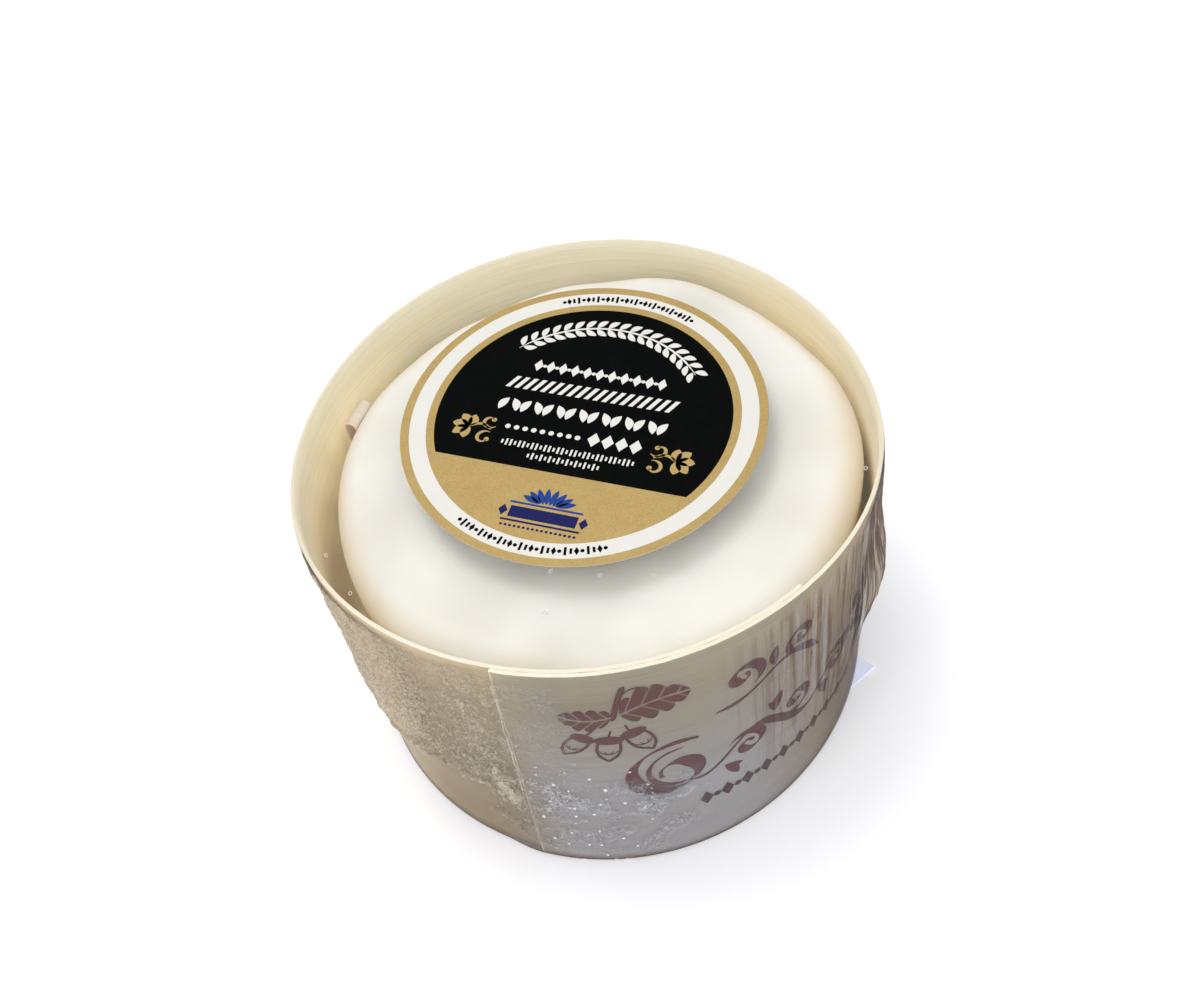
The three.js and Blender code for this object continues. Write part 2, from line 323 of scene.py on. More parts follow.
class Finish:
    # a material, or the world, whose nodes all come from one method

    def __init__(self, name, store="materials"):
        self.material = getattr(bpy.data, store).new(name)
        self.material.use_nodes = True
        self.tree = self.material.node_tree
        self.tree.nodes.clear()
        self.axes = {}

    def node(self, kind, settings=(), sockets=(), output=0):
        made = self.tree.nodes.new(kind)
        for key, value in dict(settings).items():
            setattr(made, key, value)
        for key, value in dict(sockets).items():
            if isinstance(value, Wire):
                self.tree.links.new(value.socket, made.inputs[key])
            else:
                made.inputs[key].default_value = value
        return Wire(self, made.outputs[output])

    def object(self):
        return self.node("ShaderNodeTexCoord", output="Object")

    def flat(self):
        return self.node("ShaderNodeUVMap", {"uv_map": "flat"})

    def mark(self):
        return self.node("ShaderNodeAttribute", {"attribute_name": "mark"}, output="Fac")

    def split(self, vector, axis):
        return self.node("ShaderNodeSeparateXYZ", (), {0: vector}, axis)

    def axis(self, name):
        # the object's x, y or z, in metres
        if not self.axes:
            place = self.object()
            self.axes = {letter: self.split(place, k) for k, letter in enumerate("xyz")}
        return self.axes[name]

    def vector(self, operation, first, second=(0, 0, 0), output=0):
        return self.node("ShaderNodeVectorMath", {"operation": operation}, {0: first, 1: second}, output)

    def stretched(self, vector, x, y, z=1):
        return self.node("ShaderNodeMapping", (), {"Vector": vector, "Scale": (x, y, z)})

    def noise(self, vector, scale=1, detail=3, roughness=0.5):
        sockets = {"Vector": vector, "Scale": scale, "Detail": detail, "Roughness": roughness}
        return self.node("ShaderNodeTexNoise", (), sockets)

    def between(self, value, low, high):
        # 0 at low, 1 at high and smooth between
        settings = {"interpolation_type": "SMOOTHSTEP"}
        return self.node("ShaderNodeMapRange", settings, {0: value, 1: low, 2: high, 3: 0.0, 4: 1.0})

    def rise(self, length, low, high):
        # the same for a length, with its limits in millimetres
        return self.between(length, low * mm, high * mm)

    def region(self, limits):
        # product over the limits: each goes from its least share, or 0, to 1 while its coordinate
        # goes from the first length to the second
        parts = []
        for name, first, second, *least in limits:
            part = self.rise(self.axis(name), first, second)
            parts.append(part * (1 - least[0]) + least[0] if least else part)
        return math.prod(parts[1:], start=parts[0])

    def mix(self, factor, first, second, way="MIX"):
        settings = {"data_type": "RGBA", "blend_type": way}
        return self.node("ShaderNodeMix", settings, {0: factor, 6: first, 7: second}, 2)

    def bump(self, height, distance, strength=1.0):
        sockets = {"Height": height, "Distance": distance * mm, "Strength": strength}
        return self.node("ShaderNodeBump", (), sockets)

    def principled(self, **sockets):
        named = {
            "colour": "Base Color", "roughness": "Roughness", "normal": "Normal", "metal": "Metallic",
            "gloss": "Specular IOR Level", "sheen": "Sheen Weight", "sheenRoughness": "Sheen Roughness",
            "depth": "Subsurface Weight", "depthRadius": "Subsurface Radius",
            "depthScale": "Subsurface Scale", "glow": "Emission Color", "glowStrength": "Emission Strength"}
        values = {named[key]: value for key, value in sockets.items()}
        return self.node("ShaderNodeBsdfPrincipled", (), values)

    def diffuse(self, colour):
        return self.node("ShaderNodeBsdfDiffuse", (), {"Color": colour})

    def clear(self, tint):
        return self.node("ShaderNodeBsdfTransparent", (), {"Color": tint})

    def mixShader(self, factor, first, second):
        return self.node("ShaderNodeMixShader", (), {0: factor, 1: first, 2: second})

    def apart(self, value, centre):
        # distance of a value from its centre
        return self.node("ShaderNodeMath", {"operation": "ABSOLUTE"}, {0: value - centre})

    def creases(self, vector, scale, wide, warp=1.2):
        # lines where a warped noise passes through its middle value
        sockets = {"Vector": vector, "Scale": scale, "Detail": 1.5, "Distortion": warp}
        field = self.node("ShaderNodeTexNoise", (), sockets)
        return self.between(self.apart(field, 0.5), wide, wide * 0.15)

    def end(self, shader, output="ShaderNodeOutputMaterial"):
        last = self.tree.nodes.new(output)
        self.tree.links.new(shader.socket, last.inputs["Surface"])
        return self

    def solid(self, **sockets):
        return self.end(self.principled(**sockets))


white, black = (1, 1, 1, 1), (0, 0, 0, 1)


# Veneer strip of the box. It starts at its outer end, runs once round and laps behind itself

box = {
    "steps": 600,
    "radius": 42.8,
    "veneer": 0.6,
    "lapGap": 0.01,
    "lapLength": 45,
    "seam": -114.6 * degree,
    "tuck": 60 * degree,
    "rimWaves": [(0.7, 1, -2.99), (0.64, 2, 1.6), (0.47, 3, -2.81), (0.13, 5, -2.73)],
    "footWaves": [(0.75, 1, -3.56), (1.05, 2, 5.46)],
    "footDraw": 0.53,
    "edgeRound": 0.06,
    "endLine": 0.22,
    "edgeRough": 0.05,
    "floorInset": 0.3,
    # how often the grain's noises change along and across the strip
    "streaks": (3.5, 210),
    "fibres": (22, 700),
    "bands": (1.1, 11),
    "cutFibres": (260, 260),
    "light": paint(239, 228, 202),
    "dark": paint(227, 212, 182),
    "streak": paint(200, 180, 142),
    "cutEdge": paint(240, 235, 214),
    # painted shade on the rim behind; the front gets painted light
    "cutEdgeShadedBack": paint(224, 213, 188),
    "cutEdgeLitFront": [("y", -12, -32)],
    "low": [("z", 48, 16)],
    "leftSide": [("x", -10, -24)],
    # painted shade and light on the outside, multiplied into the wood's colour by place; the foot's blue is
    # a painted reflection
    "paintedShadeLeft": (0.60, 0.55, 0.48, 1),
    "paintedShadeLeftFoot": (0.375, 0.325, 0.27, 1),
    "paintedShadeFront": (0.375, 0.365, 0.345, 1),
    "paintedShadeBlueFoot": (0.45, 0.49, 0.665, 1),
    "paintedLightAndShadePlaces": {
        "farLeft": ((0.57, 0.50, 0.41, 1), 1, [("x", -29, -38)]),
        "upper": (white, 0.1, [("x", -2, 18), ("z", 35, 46)]),
        "right": ((0.275, 0.225, 0.165, 1), 1, [("x", 12, 35), ("z", 50, 38, 0.45)]),
        "farRight": ((0.15, 0.12, 0.11, 1), 1, [("x", 27, 36), ("z", 48, 16)]),
        "back": ((0.64, 0.58, 0.50, 1), 1, [("y", -2, 18)]),
    },
    # painted glow of the inner face, on the left and right
    "paintedGlowInside": (0.156, 0.118, 0.058, 1),
    "paintedGlowLeft": [("x", -22, -38), ("z", 55, 43), ("z", 34, 44, 0.5)],
    "paintedGlowRight": [("x", 22, 38), ("z", 55, 43), ("z", 37, 46, 0.16)],
}
wallLow, wallHigh = boxOf("box_wall")
boxFoot, rimHeight = wallLow[2], wallHigh[2]
stripLength = turn + box["lapLength"] / box["radius"]


def ovalAt(azimuth, z):
    # rim and foot are each out of round by a sum of waves, and the foot is a little smaller;
    # between them it goes by height
    up = z / rimHeight
    rim, foot = waves(box["rimWaves"], azimuth), waves(box["footWaves"], azimuth) - box["footDraw"]
    return rim * up + foot * (1 - up)


def stripDrop(along):
    # the strip moves in by its thickness before it passes behind its outer end
    return (box["veneer"] + box["lapGap"]) * smooth((along - turn + box["tuck"]) / box["tuck"])


def stripOutside(along, z):
    # radius of the strip's outer face: the box's, plus the oval, less the drop
    return box["radius"] + ovalAt(box["seam"] + along, z) - stripDrop(along)


def aroundAxis(azimuth, radius, z):
    # places at an azimuth, a distance from the box's axis and a height
    return np.stack([radius * np.cos(azimuth), radius * np.sin(azimuth), z + 0 * radius], -1)


def onStrip(along, z, lift):
    # a place in millimetres along the strip from its outer end, and its height
    angle = along / box["radius"]
    return aroundAxis(box["seam"] + angle, stripOutside(angle, z) + lift, z)


def woodColour(finish, place, outside=0.0):
    # colour and height of the grain: long streaks, short fibres and broad bands along the strip;
    # outside, the wood's colour is multiplied by painted shade and light that go by place: warm on
    # the left, grey in front, bluer at its foot with a painted blue reflection, brown on the right
    # and paler behind
    streaks = finish.noise(finish.stretched(place, *box["streaks"]), 1, 4, 0.6)
    fibres = finish.noise(finish.stretched(place, *box["fibres"]), 1, 2, 0.6)
    bands = finish.noise(finish.stretched(place, *box["bands"]), 1, 3, 0.5)
    tone = finish.between(bands * 0.55 + streaks * 0.45, 0.36, 0.64)
    colour = finish.mix(tone, box["light"], box["dark"])
    dark = finish.between(streaks, 0.56, 0.76) * (0.2 + 0.25 * outside)
    dark = dark + finish.between(fibres, 0.58, 0.8) * (0.12 + 0.3 * outside)
    colour = finish.mix(dark, colour, box["streak"])
    # painted shade by place: grey in front, bluer at the foot as a painted reflection, warmer on the left,
    # then darker or lighter in the places below
    low = finish.region(box["low"])
    paintedShade = finish.mix(low, box["paintedShadeFront"], box["paintedShadeBlueFoot"])
    left = finish.mix(low, box["paintedShadeLeft"], box["paintedShadeLeftFoot"])
    paintedShade = finish.mix(finish.region(box["leftSide"]), paintedShade, left)
    for shade, share, limits in box["paintedLightAndShadePlaces"].values():
        paintedShade = finish.mix(finish.region(limits) * share, paintedShade, shade)
    return finish.mix(outside, colour, paintedShade, "MULTIPLY"), streaks * 0.6 + fibres * 0.4


def veneerFinish():
    # inside, the thin wood lets some light through, and a painted glow, warm and most on the left and right,
    # stands in for more light let through from outside
    finish = Finish("veneer")
    colour, grain = woodColour(finish, finish.flat(), finish.mark())
    inside = (finish.region(box["paintedGlowLeft"]) + finish.region(box["paintedGlowRight"])) * (1 - finish.mark())
    return finish.solid(
        colour=colour, roughness=0.5 + grain * 0.25, normal=finish.bump(grain, 0.05, 0.7), gloss=0.3,
        glow=finish.mix(inside, black, box["paintedGlowInside"]), glowStrength=1.0,
        depth=1.0, depthRadius=(1.0, 0.95, 0.85), depthScale=2.5 * mm)


def cutEdgeFinish():
    # the sawn rim is paler than the faces and has short fibres across it; painted light makes it lighter in
    # front, and painted shade darker behind and along its outer edge
    finish = Finish("cut_edge")
    colour = woodColour(finish, finish.flat())[0]
    fibres = finish.noise(finish.stretched(finish.flat(), *box["cutFibres"]), 1, 3, 0.6)
    paintedFrontLight = finish.mix(finish.region(box["cutEdgeLitFront"]), box["cutEdgeShadedBack"], box["cutEdge"])
    pale = finish.mix(finish.between(fibres, 0.3, 0.75) * 0.5 + 0.12, paintedFrontLight, colour)
    pale = finish.mix(finish.mark() * 0.62, pale, box["paintedShadeLeft"], "MULTIPLY")
    return finish.solid(
        colour=pale, roughness=0.6 + fibres * 0.2, normal=finish.bump(fibres, 0.06, 0.6), gloss=0.25)


def makeWall():
    # a rectangle with rounded corners carried along the strip; heights jitter a little at the rim
    count, inset = box["steps"], box["edgeRound"]
    arc = np.linspace(0, math.pi / 2, 4)
    rise = np.linspace(boxFoot, rimHeight - inset, 14)
    outX = np.concatenate([0 * rise, inset * (1 - np.cos(arc[1:]))])
    outZ = np.concatenate([rise, rimHeight - inset * (1 - np.sin(arc[1:]))])
    sectionX = np.concatenate([outX, box["veneer"] - outX[::-1]])
    sectionZ = np.concatenate([outZ, outZ[::-1]])
    along = np.linspace(0, stripLength, count + 1)[:, None]
    along[1] = box["endLine"] / box["radius"]
    grain = np.random.default_rng(11).standard_normal(count + 1)
    grain = np.convolve(grain, np.ones(3) / 3, "same")[:, None]
    z = sectionZ[None, :] + 0 * along
    rim = smooth((z - rimHeight + 1) / 1)
    z = z + box["edgeRough"] * (grain - 1.5).clip(-3, 0) * rim
    radius = stripOutside(along, z) - sectionX[None, :]
    points = aroundAxis(box["seam"] + along, radius, z)
    columns = len(sectionX)
    sides = gridFaces(count + 1, columns)
    ends = np.stack([np.arange(columns)[::-1], count * columns + np.arange(columns)])
    first, last = (sides % columns).min(1), (sides % columns).max(1)
    onRim = (first >= len(rise) - 1) & (first < columns - len(rise)) & (last < columns - 1)
    onRim |= sides.min(1) < columns
    flat = np.stack([(along + 0 * z) * box["radius"], z + sectionX], -1)
    outward = np.arange(columns) < len(rise)
    shape = Shape()
    shape.add(points, [sides, ends], [onRim.astype(int), 1], flat, outward + 0 * z)
    shape.make("veneerStrip", [veneerFinish(), cutEdgeFinish()], ["box_wall"])


# Floor disc of the box, seen only from below through the film

def makeFloor():
    # it follows the inside of the strip and stays clear of the inner end's step
    low, high = boxOf("box_floor")
    azimuth = roundTurn(360)
    along = (azimuth - box["seam"]) % turn
    onLap = along < box["lapLength"] / box["radius"] + 3 * degree
    inside = stripOutside(np.where(onLap, along + turn, along), boxFoot) - box["veneer"]
    inset, tall = box["floorInset"], high[2] - low[2]
    radius = np.minimum.reduce([np.roll(inside, k) for k in range(-5, 6)]) - inset
    rows = [(0, inset, 0.5), (0, inset, 0), (inset, 0, 0),
            (tall - inset, 0, 0), (tall, inset, 0), (tall, inset, 0.5)]
    rings = [aroundAxis(azimuth, (radius - cut) * (1 - share), low[2] + z) for z, cut, share in rows]
    points = np.concatenate([*rings, [[0, 0, low[2]], [0, 0, high[2]]]])
    count, last = len(azimuth), len(rows) - 1
    under = fanFaces(0, count, len(points) - 2)[:, ::-1]
    over = fanFaces(last * count, count, len(points) - 1)
    finish = Finish("board")
    colour, grain = woodColour(finish, finish.stretched(finish.flat(), 1.3, 1))
    finish.solid(colour=finish.mix(0.25, colour, box["streak"]), roughness=0.6,
                 normal=finish.bump(grain, 0.08, 0.7), gloss=0.3)
    shape = Shape()
    shape.add(points, [gridFaces(len(rows), count), under, over])
    shape.make("floorDisc", [finish], ["box_floor"])


# Cheese: it has slid to the right, stands higher at the back right and sags at the back left

cheese = {
    "columns": 420,
    "radius": 40,
    "centre": (0.98, -0.27),
    "top": 48.4,
    "edge": 47.4,
    "shoulder": 5,
    "foot": 4,
    "sideWaves": [(0.1, 3, 2.51), (0.41, 5, 1.72), (0.14, 8, 1.9)],
    "edgeWaves": [(0.22, 9, 0.4), (0.15, 5, 0)],
    "sideBumps": [(0.48, 178.2 * degree, 0.63), (-0.68, 71.3 * degree, 0.76)],
    "edgeBumps": [(1.73, 32.9 * degree, 0.76), (1.8, 61.7 * degree, 0.19), (-1.04, 132.8 * degree, 0.21)],
    "footSwell": 0.75,
    "draw": 0.7,
    "hummocks": 0.1,
    "dimples": 0.012,
    "ripples": 0.12,
    "rind": paint(238, 236, 228),
    "grey": paint(227, 226, 218),
    # painted warm shade for the shoulder
    "paintedWarmShade": paint(234, 222, 196),
    # creamier rind tone, partly painted shade
    "creamAndShade": paint(222, 218, 206),
    "deep": paint(205, 170, 118),
    "greyness": 0.75,
    "creamAndShadeShare": 0.6,
    "shoulderFrom": (37, 41.5),
    "shoulderBack": [("y", -30, -18, 0.15)],
    "sideFrom": (45, 38),
    "creamAndShadeSpots": [(-19, -24, 9), (-31, -6, 10), (31, -4, 10), (26, -18, 8), (-30, 12, 8), (22, 24, 8),
                 (-9, -34, 5)],
}


def swellings(spots, azimuth):
    # sum of height times a bell of the angle from each spot's azimuth
    return sum(height * bell(angleFrom(centre, azimuth), spread) for height, centre, spread in spots)


def cheeseSwell(azimuth):
    # how far the side stands out: waves and bumps round it
    return waves(cheese["sideWaves"], azimuth) + swellings(cheese["sideBumps"], azimuth)


def cheeseEdgeLevel(azimuth):
    # height at which the top turns into the shoulder: a level with waves and bumps round it
    return cheese["edge"] + waves(cheese["edgeWaves"], azimuth) + swellings(cheese["edgeBumps"], azimuth)


def rindFinish():
    # white mould, greyer in soft patches, creamier in spots that are partly painted shade, warmer on the
    # shoulder by painted warm shade from the wood, and yellow down the side
    finish = Finish("rind")
    place = finish.object()
    fromAxis = finish.vector("MULTIPLY", place, (1, 1, 0))
    patches = finish.noise(place, 90, 3, 0.55)
    cloud = finish.noise(place, 32, 2, 0.5)
    nap = finish.noise(place, 1500, 3, 0.65)
    greyed = finish.between(patches * 0.5 + cloud * 0.5, 0.42, 0.66) * cheese["greyness"]
    colour = finish.mix(greyed, cheese["rind"], cheese["grey"])
    # spots of darker, creamier rind, partly the rind's own tone and partly painted shade
    for x, y, size in cheese["creamAndShadeSpots"]:
        off = finish.vector("SUBTRACT", fromAxis, (x * mm, y * mm, 0))
        off = finish.vector("LENGTH", off, output="Value") + cloud * 0.008
        blot = finish.rise(off, size + 5, size * 0.5) * cheese["creamAndShadeShare"]
        colour = finish.mix(blot, colour, cheese["creamAndShade"])
    reach = finish.vector("LENGTH", fromAxis, output="Value")
    # painted warm shade on the shoulder, kept off the front
    shoulder = finish.rise(reach + cloud * 0.004, *cheese["shoulderFrom"])
    shoulder = shoulder * finish.region(cheese["shoulderBack"])
    colour = finish.mix(shoulder * 0.5, colour, cheese["paintedWarmShade"])
    side = finish.rise(finish.axis("z") + cloud * 0.004, *cheese["sideFrom"])
    colour = finish.mix(side * 0.8, colour, cheese["deep"])
    height = nap * 0.35 + finish.noise(place, 420, 3, 0.6) * 0.65
    return finish.solid(
        colour=colour, roughness=0.62 + nap * 0.2, normal=finish.bump(height, 0.09, 0.5), gloss=0.25,
        depth=0.25, depthRadius=(1.0, 0.75, 0.5), depthScale=1.6 * mm, sheen=0.08, sheenRoughness=0.5)


def makeCheese():
    # rings from the middle of the top over the shoulder and the side to the middle of the foot
    columns = cheese["columns"]
    azimuth = roundTurn(columns)[None, :]
    radius, round, foot, draw = [cheese[key] for key in ("radius", "shoulder", "foot", "draw")]
    flat, floorTop = radius - round, boxOf("cheese")[0][2]
    edge, swell = cheeseEdgeLevel(azimuth), cheeseSwell(azimuth)
    share = np.linspace(0.02, 1, 48)[:, None]
    arc = np.linspace(0, math.pi / 2, 19)[1:, None]
    down = np.linspace(0, 1, 28)[1:, None]
    footArc = np.linspace(0, math.pi / 2, 8)[1:, None]
    sink = share ** 3
    parts = [
        (share * flat + sink * swell, cheese["top"] + (edge - cheese["top"]) * sink),
        (flat + round * np.sin(arc) + swell, edge - round * (1 - np.cos(arc))),
        (radius - draw * down + swell * (1 - (1 - cheese["footSwell"]) * down),
         (edge - round) * (1 - down) + (floorTop + foot) * down),
        (radius - draw - foot * (1 - np.cos(footArc)) + swell * cheese["footSwell"],
         floorTop + foot * (1 - np.sin(footArc))),
    ]
    r, z = [np.concatenate([part[k] + 0 * azimuth for part in parts]) for k in range(2)]
    x, y = r * np.cos(azimuth), r * np.sin(azimuth)
    soft = cheese["hummocks"] * rippled(3, x, y, 17, 8) + cheese["dimples"] * rippled(4, x, y, 6, 3)
    z = z + soft * smooth((z - 43.5) / 3.5)
    low = smooth((z - floorTop - 1) / 3) * smooth((42 - z) / 6)
    r = r + cheese["ripples"] * rippled(5, azimuth * radius, z, 12, 5) * low
    centre = cheese["centre"]
    points = (aroundAxis(azimuth, r, z) + [*centre, 0]).reshape(-1, 3)
    points = np.concatenate([points, [[*centre, z[0].mean()], [*centre, floorTop]]])
    rows = len(z)
    groups = [gridFaces(rows, columns), fanFaces(0, columns, rows * columns)[:, ::-1],
              fanFaces((rows - 1) * columns, columns, rows * columns + 1)]
    shape = Shape()
    shape.add(points, groups)
    shape.make("softCheese", [rindFinish()], ["cheese"])


# Film shrunk round the box: it spans the step at the seam and stands off on the right and the left

film = {
    "columns": 660,
    "rows": 118,
    "insideColumns": 220,
    "topCell": 2.2,
    "insideCell": 6,
    "clearance": 0.24,
    "round": 0.3,
    "bridge": 9 * degree,
    "skin": 0.08,
    "bulges": [(2.0, -22.5 * degree, 0.2, 29.4, 8.6), (1.33, -145 * degree, 0.2, 28.2, 11.2)],
    "pleats": (0.3, -30 * degree, 0.6, 30, 12),
    "pleatCount": 24,
    "vents": [(-7.7, -24.9), (-1.2, -27.1), (5.9, -28.7), (-9.3, -31.6),
              (-38.6, -15), (-35.4, -22.4), (38, -17.3)],
    "ventRadius": 0.25,
    "ventSides": 12,
    "bead": 0.07,
    "beadLight": (0.86, 0.85, 0.82, 1),
    "beadDark": (0.7, 0.68, 0.64, 1),
    # where crinkles are, by azimuth in degrees: from, to and the soft length past them; on the left
    # from, how ragged that is, its soft length, to and its soft length
    "seen": (-178, -12, 12),
    "left": (-200, 12, 36, -110, 12),
    "frontLeft": (-122, -106, 8),
    "puckered": (-121, -84, 7),
    "upright": (-66, -8, 10),
    "banded": (-158, -62, 8),
    # azimuths where the painted highlight along the ridge is brighter
    "ridgeHighlight": (-146, -121, 4),
    # height of the line where the crinkled part ends, and of two dark folds, at azimuths
    "ridge": [(-180, 22), (-147, 22), (-135, 23.5), (-132.5, 21), (-130, 17.4), (-126, 18.2),
              (-121.7, 18.6), (-118, 15.5), (-116, 11), (-112.5, 9), (-110, 10.5), (-108, 13.9),
              (-97, 14.2), (-92.3, 16.1), (-84.2, 18.9), (-77.3, 18.7), (-60, 17), (-40, 14), (180, 22)],
    "upperFold": [(-146, 23.6), (-143.6, 23.1), (-141.2, 21.8), (-137.8, 24.1), (-134.4, 25.2)],
    "lowerFold": [(-140.5, 21.3), (-136.2, 20.8), (-132.6, 22.4)],
    "haze": paint(192, 178, 154),
    # painted highlight for crinkle crests, the ridge and the seam, partly whitened film
    "crestHighlight": paint(230, 221, 200),
    # painted cool reflection on the front's haze
    "coolReflectionHaze": paint(206, 209, 216),
    "coolHighlight": paint(250, 251, 254),
    "bulgeHaze": paint(172, 156, 131),
    "bulgeHighlight": paint(203, 188, 164),
    # painted shade and painted highlight of the pleats on the right
    "pleatShadeHaze": paint(136, 119, 104),
    "pleatShade": paint(102, 85, 74),
    "pleatHighlight": paint(178, 164, 146),
    "sideTint": (0.945, 0.943, 0.945, 1),
    # painted shade that darkens light through folds, creases, pleat troughs and the foot
    "foldShadeTint": (0.42, 0.34, 0.3, 1),
    # mirror: least share, and how much more at a glancing view; roughness
    "mirror": (0.022, 0.04),
    "mirrorRoughness": 0.08,
    "cloudiness": 0.85,
    # share of the painted glints
    "glintCover": 0.9,
    "sides": [("z", 51.5, 46)],
    "footShadowLine": [("z", 1.3, 0.4)],
    "pleated": [("x", 9, 30), ("z", 52, 49), ("z", 6, 32), ("y", 32, 2)],
    "coolReflection": [("x", -20, -13), ("y", 8, -12)],
    # where the painted highlight along the seam goes
    "seamHighlight": [("y", -24, -28), ("z", 17, 24), ("z", 51, 49)],
    "cloudyLeft": [("x", -26, -35), ("z", 14, 22), ("y", 22, -12), ("z", 52.2, 50)],
    "cloudyRight": [("x", 35, 38.5), ("z", 9, 18), ("y", 22, -8), ("z", 52.2, 50)],
    "toRight": [("x", -1, 1)],
    "glintSpots": [("x", -19, -15), ("x", 4, -4), ("z", 33, 24), ("y", -20, -30)],
}
filmLow, filmHigh = boxOf("film")
filmFoot, filmTop = filmLow[2], filmHigh[2]


def spotOf(spot, azimuth, z):
    # a height times a bell of the azimuth and a bell of the level
    height, centre, spread, level, tall = spot
    return height * bell(angleFrom(centre, azimuth), spread) * bell(z - level, tall)


def filmOutside(azimuth, z):
    # radius of the film: a clearance over the strip, whose step it bridges at the seam, plus the
    # bulges, plus pleats that go by half of 1 plus a sine of the azimuth
    along = (azimuth - box["seam"]) % turn
    bridge = 1 - smooth((along - turn + film["bridge"]) / film["bridge"])
    base = box["radius"] + film["clearance"] + ovalAt(azimuth, z) - stripDrop(along) * bridge
    pleat = (1 + np.sin(film["pleatCount"] * azimuth)) / 2
    bulges = sum(spotOf(spot, azimuth, z) for spot in film["bulges"])
    return base + bulges + spotOf(film["pleats"], azimuth, z) * pleat


def alongKnots(azimuth, knots):
    return np.interp(azimuth, [k[0] for k in knots], [k[1] for k in knots])


def foldedLine(a, z, knots, away, low, high):
    # a bell across a line given by its knots, between two azimuths
    return bell(z - alongKnots(a, film[knots]) + away, 0.4) * window(a, low, high, 1.2)


def filmRelief(azimuth, z, stepAlong, stepUp):
    # how far the crinkles lift the film, and a mark: over 0 where they make it milky, over 0.9 along
    # the ridge, which gets a painted highlight, and under 0 where folds get painted shade
    rows, columns = z.shape
    a = (azimuth / degree + 180) % 360 - 180
    # the same, running on past the back so that the left part doesn't end there
    past = a - 360 * (a > 90)

    def noise(seed, up, along, spread=0.45):
        return banded(seed, rows, columns, stepUp, stepAlong, up, along, spread)

    def creases(field, width):
        # narrow crests where the field passes through zero
        return np.exp(-np.abs(field) / width)

    ridge = alongKnots(a, film["ridge"]) + 0.5 * noise(20, 9, 6)
    back = 1 - window(past, *film["seen"])
    start, ragged, fade, end, soft = film["left"]
    left = smooth((past - start + ragged * noise(37, 9, 7)) / fade) * smooth((end - past) / soft)
    left = left * smooth((z - ridge) / 2.5)
    frontLeft = window(a, *film["frontLeft"]) * smooth((z - 14) / 4)
    pucker = window(a, *film["puckered"]) * window(z, 6, 22, 6)
    pucker = pucker * (0.35 + 0.65 * smooth(noise(28, 8, 8) + 0.6))
    upright = window(a, *film["upright"]) * window(z, 24, 48, 6)
    calm = smooth((rimHeight - 0.4 - z) / 2.5) * smooth((z - 0.5) / 2)

    fine = creases(noise(21, 1.3, 1.3), 0.55) + 0.6 * creases(noise(22, 2.6, 2.2), 0.35)
    crinkle = 0.12 * fine + 0.045 * np.abs(noise(23, 1.1, 1.1)) + 0.1 * noise(35, 5, 4)
    bubbles = np.abs(noise(24, 1.5, 1.5)) * 0.2 + creases(noise(25, 3.0, 3.4), 0.25) * 0.3
    pleat = creases(noise(26, 34, 2.2, 0.35), 0.35) * 0.22 + creases(noise(27, 22, 1.2, 0.35), 0.4) * 0.12
    broad = creases(noise(29, 12, 9), 0.16) * 0.25
    band = bell(z - ridge, 0.42) * window(a, *film["banded"]) * (0.45 + 0.55 * smooth(noise(30, 4, 2)))
    wiggle = 0.5 * noise(36, 3, 1.7)
    fold = (foldedLine(a, z, "upperFold", wiggle, -146, -134.6)
            + foldedLine(a, z, "lowerFold", -wiggle, -140, -131.5))

    lift = crinkle * (left + 0.55 * frontLeft + 0.6 * back) + bubbles * pucker
    lift = lift + pleat * (upright + 0.3 * back) + broad * (back + 0.5 * left)
    lift = lift + 0.42 * band + 0.6 * fold + 0.05 * creases(noise(31, 2, 8), 0.3) * window(z, 0, 4, 3)
    milk = left + 0.4 * frontLeft + 0.8 * pucker + 0.4 * back
    # a painted highlight along the ridge, brighter between these azimuths
    line = 0.45 + 0.85 * window(a, *film["ridgeHighlight"])
    milk = 0.72 * milk * (0.72 + 0.28 * smooth(noise(33, 9, 7) + 0.6)) + line * band
    dark = 1.9 * fold * (0.6 + 0.4 * smooth(noise(34, 2, 3) + 0.8))
    return lift * calm, (milk * calm - dark).clip(-1, 1.5)


